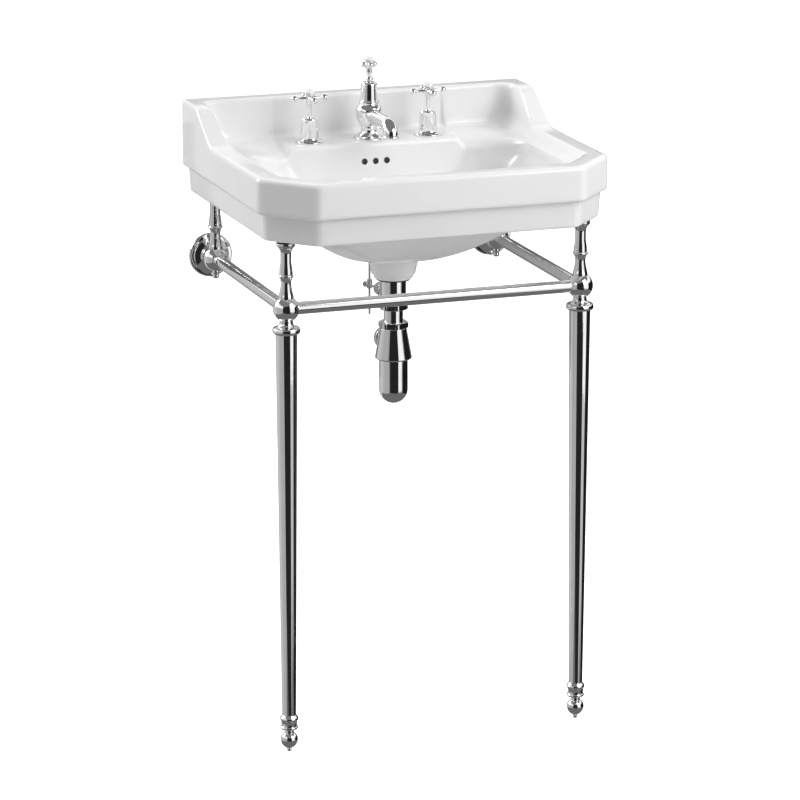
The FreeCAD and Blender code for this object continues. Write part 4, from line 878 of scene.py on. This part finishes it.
polished("waste_nut", [placed(nut(41, 636.6, body_low, 15.3), waste_axis)])
dip_tube = sleeve(13.7, 15.2, 538.2, body_low)
polished("dip_tube", [placed(dip_tube, waste_axis)])
polished("trap_nut", [placed(nut(42.5, 607, 617, 15.3), waste_axis)])
outlet_z = 582.5
cup = turned((0, 557.5), (27.6, 557.5), (29.1, 559.5), (25, 582.5), (20.6, 606.95), (0, 606.95), ease=0.8)
branch = turned((0, 8), (17.4, 8), (17.4, 35.5), (17.2, 37), (16.2, 37), (16.2, 24), (0, 24), ease=0.3)
grids = [placed(cup, waste_axis), placed(branch, (0, waste_y, outlet_z), (0, 1, 0))]
polished("trap_cup", grids)
bottle = turned((0, 485.5), (15.98, 492.1, 22.6, 508.1), (22.6, 530), (22.6, 557.4), (0, 557.4), parts=28)
polished("trap_bottle", [placed(bottle, waste_axis)])
outlet_nut = turned((16.3, 61.5), (18.6, 61.5), (19.4, 62.5), (19.4, 70.4), (18.6, 71.5), (16.3, 71.5),
                    (16.3, 61.5))
polished("outlet_nut", [placed(outlet_nut, (0, 0, outlet_z), (0, 1, 0))])

# Studio. A pale floor under an even white surround, five soft lamps, and boards outside the picture that
# only show in the polished metal, as dark and pale bands like those in the photograph.


def sheet(name, grid, surface):
    """Studio sheet from a grid in metres."""
    mesh = bpy.data.meshes.new(name)
    mesh.from_pydata(grid.reshape(-1, 3).tolist(), [], quads_of(*grid.shape[:2]).tolist())
    mesh.materials.append(surface)
    made = bpy.data.objects.new(name, mesh)
    bpy.context.scene.collection.objects.link(made)
    return made


def board(name, grid, *greys):
    """Studio board that only reflections see: one even grey, or greys shaded into each other by bearing,
    counted from the front towards +X."""
    surface = bpy.data.materials.new(name)
    surface.use_nodes = True
    tree = surface.node_tree
    tree.nodes.clear()
    glow = tree.nodes.new("ShaderNodeEmission")
    out = tree.nodes.new("ShaderNodeOutputMaterial")
    if len(greys) == 1:
        glow.inputs["Color"].default_value = (*greys * 3, 1)
    else:
        where = tree.nodes.new("ShaderNodeTexCoord")
        around = tree.nodes.new("ShaderNodeTexGradient")
        around.gradient_type = "RADIAL"
        ramp = tree.nodes.new("ShaderNodeValToRGB")
        stops = sorted(((bearing + 90) % 360 / 360, grey) for bearing, grey in greys)
        for place, grey in stops[1:-1]:
            ramp.color_ramp.elements.new(place).color = (grey, grey, grey, 1)
        for stop, (place, grey) in ((0, stops[0]), (-1, stops[-1])):
            ramp.color_ramp.elements[stop].position = place
            ramp.color_ramp.elements[stop].color = (grey, grey, grey, 1)
        tree.links.new(where.outputs["Object"], around.inputs["Vector"])
        tree.links.new(around.outputs["Fac"], ramp.inputs["Fac"])
        tree.links.new(ramp.outputs["Color"], glow.inputs["Color"])
    tree.links.new(glow.outputs["Emission"], out.inputs["Surface"])
    made = sheet(name, grid, surface)
    made.visible_camera = made.visible_diffuse = made.visible_shadow = made.visible_transmission = False


def wall_board(first, last, low, high, radius=7.0):
    """Part of an upright round wall between two bearings, counted from the front towards +X."""
    bearing = np.radians(np.linspace(first, last, 61))[None, :]
    z = np.array((low, high), float)[:, None]
    return np.stack(np.broadcast_arrays(radius * np.sin(bearing), -radius * np.cos(bearing), z), -1)


def flat_board(low, high):
    """Board between two opposite corners, square to the axis along which they don't differ."""
    low, high = np.array(low, float), np.array(high, float)
    first, second = np.flatnonzero(high - low)
    grid = np.tile(low, (2, 2, 1))
    grid[1, :, first], grid[:, 1, second] = high[first], high[second]
    return grid


board("board_round", wall_board(58, 327, -3.2, 2.4), (58, 0.012), (150, 0.012), (172, 0.1), (188, 0.35),
      (202, 0.55), (236, 0.58), (264, 0.45), (327, 0.42))
board("board_front", wall_board(-47, 14.5, -3.2, 5.4, 6.8), 0.018)
board("board_front_low", wall_board(14, 22, -3.2, -1.06, 6.75), 0.018)
board("board_right", wall_board(20, 58, -3.2, -1.32, 6.9), 0.55)
board("board_back", flat_board((-0.2, 0.3, 0.45), (0.55, 0.3, 0.86)), (122, 0.15), (138, 0.15), (160, 0.34),
      (185, 0.4), (215, 0.14))
board("board_back_left", flat_board((-0.32, 0.3, 0.72), (-0.2, 0.3, 0.9)), 0.14)
board("board_ceiling", flat_board((-3.2, -3.4, 3.0), (3.2, 2.0, 3.0)), 0.2)
board("board_low", flat_board((-4, -4.2, -1.6), (4, 3, -1.6)), 0.15)

pale, tree, skin, where = new_finish("pale_floor", (0.7, 0.7, 0.7), 0.9)
skin.inputs["Specular IOR Level"].default_value = 0.0
path = tree.nodes.new("ShaderNodeLightPath")
skin.inputs["Emission Color"].default_value = (1, 1, 1, 1)
lift = tree.nodes.new("ShaderNodeMath")
lift.operation = "MULTIPLY"
lift.inputs[1].default_value = 0.9
tree.links.new(path.outputs["Is Camera Ray"], lift.inputs[0])
tree.links.new(lift.outputs["Value"], skin.inputs["Emission Strength"])
floor_half = 14
floor_grid = flat_board((-floor_half, -floor_half, 0), (floor_half, floor_half, 0)).swapaxes(0, 1)
floor = sheet("studio_floor", floor_grid, pale)
floor.visible_glossy = False

world = bpy.data.worlds.new("white_surround")
bpy.context.scene.world = world
world.use_nodes = True
tree = world.node_tree
tree.nodes.clear()
path = tree.nodes.new("ShaderNodeLightPath")
seen = path.outputs["Is Camera Ray"]
for ray in ("Is Glossy Ray", "Is Transmission Ray"):
    either = tree.nodes.new("ShaderNodeMath")
    either.operation = "MAXIMUM"
    tree.links.new(seen, either.inputs[0])
    tree.links.new(path.outputs[ray], either.inputs[1])
    seen = either.outputs["Value"]
choose = tree.nodes.new("ShaderNodeMixShader")
tree.links.new(seen, choose.inputs["Fac"])
for place, colour in ((1, (0.23, 0.23, 0.233, 1)), (2, (1, 1, 1, 1))):
    glow = tree.nodes.new("ShaderNodeBackground")
    glow.inputs["Color"].default_value = colour
    tree.links.new(glow.outputs["Background"], choose.inputs[place])
out = tree.nodes.new("ShaderNodeOutputWorld")
tree.links.new(choose.outputs["Shader"], out.inputs["Surface"])


def set_round(name, data, aim, bearing, height, distance):
    """Lamp or camera at a distance from the point it is aimed at, at a bearing from the front towards +X
    and an angle up, both in degrees."""
    made = bpy.data.objects.new(name, data)
    turn, tip = math.radians(bearing), math.radians(height)
    away = Vector((math.sin(turn) * math.cos(tip), -math.cos(turn) * math.cos(tip), math.sin(tip)))
    made.location = Vector(aim) + away * distance
    made.rotation_euler = away.to_track_quat("Z", "Y").to_euler()
    bpy.context.scene.collection.objects.link(made)
    return made


def soft_lamp(name, bearing, height, distance, size, power, mirrored=True):
    """Rectangular soft lamp aimed at the basin; one that isn't mirrored stays out of the polished metal,
    like a lamp behind a flag."""
    lamp = bpy.data.lights.new(name, "AREA")
    lamp.shape = "RECTANGLE"
    lamp.size, lamp.size_y = size
    lamp.energy = power
    made = set_round(name, lamp, (0, 0, 0.8), bearing, height, distance)
    made.visible_camera, made.visible_glossy = False, mirrored


soft_lamp("lamp_front_right", 36, 28, 2.3, (1.15, 1.5), 19)
soft_lamp("lamp_front_broad", 42, 32, 4.0, (4.6, 3.5), 66, False)
soft_lamp("lamp_right", 78, -4, 4.0, (2.2, 2.2), 36, False)
soft_lamp("lamp_left", -128, 26, 4.0, (2.2, 2.2), 128)
soft_lamp("lamp_top", 10, 80, 4.0, (3.0, 3.0), 55)

# Camera. A long lens a little to the left of the front, looking down at the basin and aimed so that the
# washstand fills the picture as it does in the photograph.

lens = bpy.data.cameras.new("camera")
lens.lens, lens.sensor_width = 184.4, 36.0
lens.clip_end = 60
eye = set_round("camera", lens, (-0.00195, -0.005, 0.4989), -19.29, 14.75, 6.388)
bpy.context.scene.camera = eye
bpy.context.scene.view_settings.view_transform = "Standard"

bpy.context.view_layer.update()
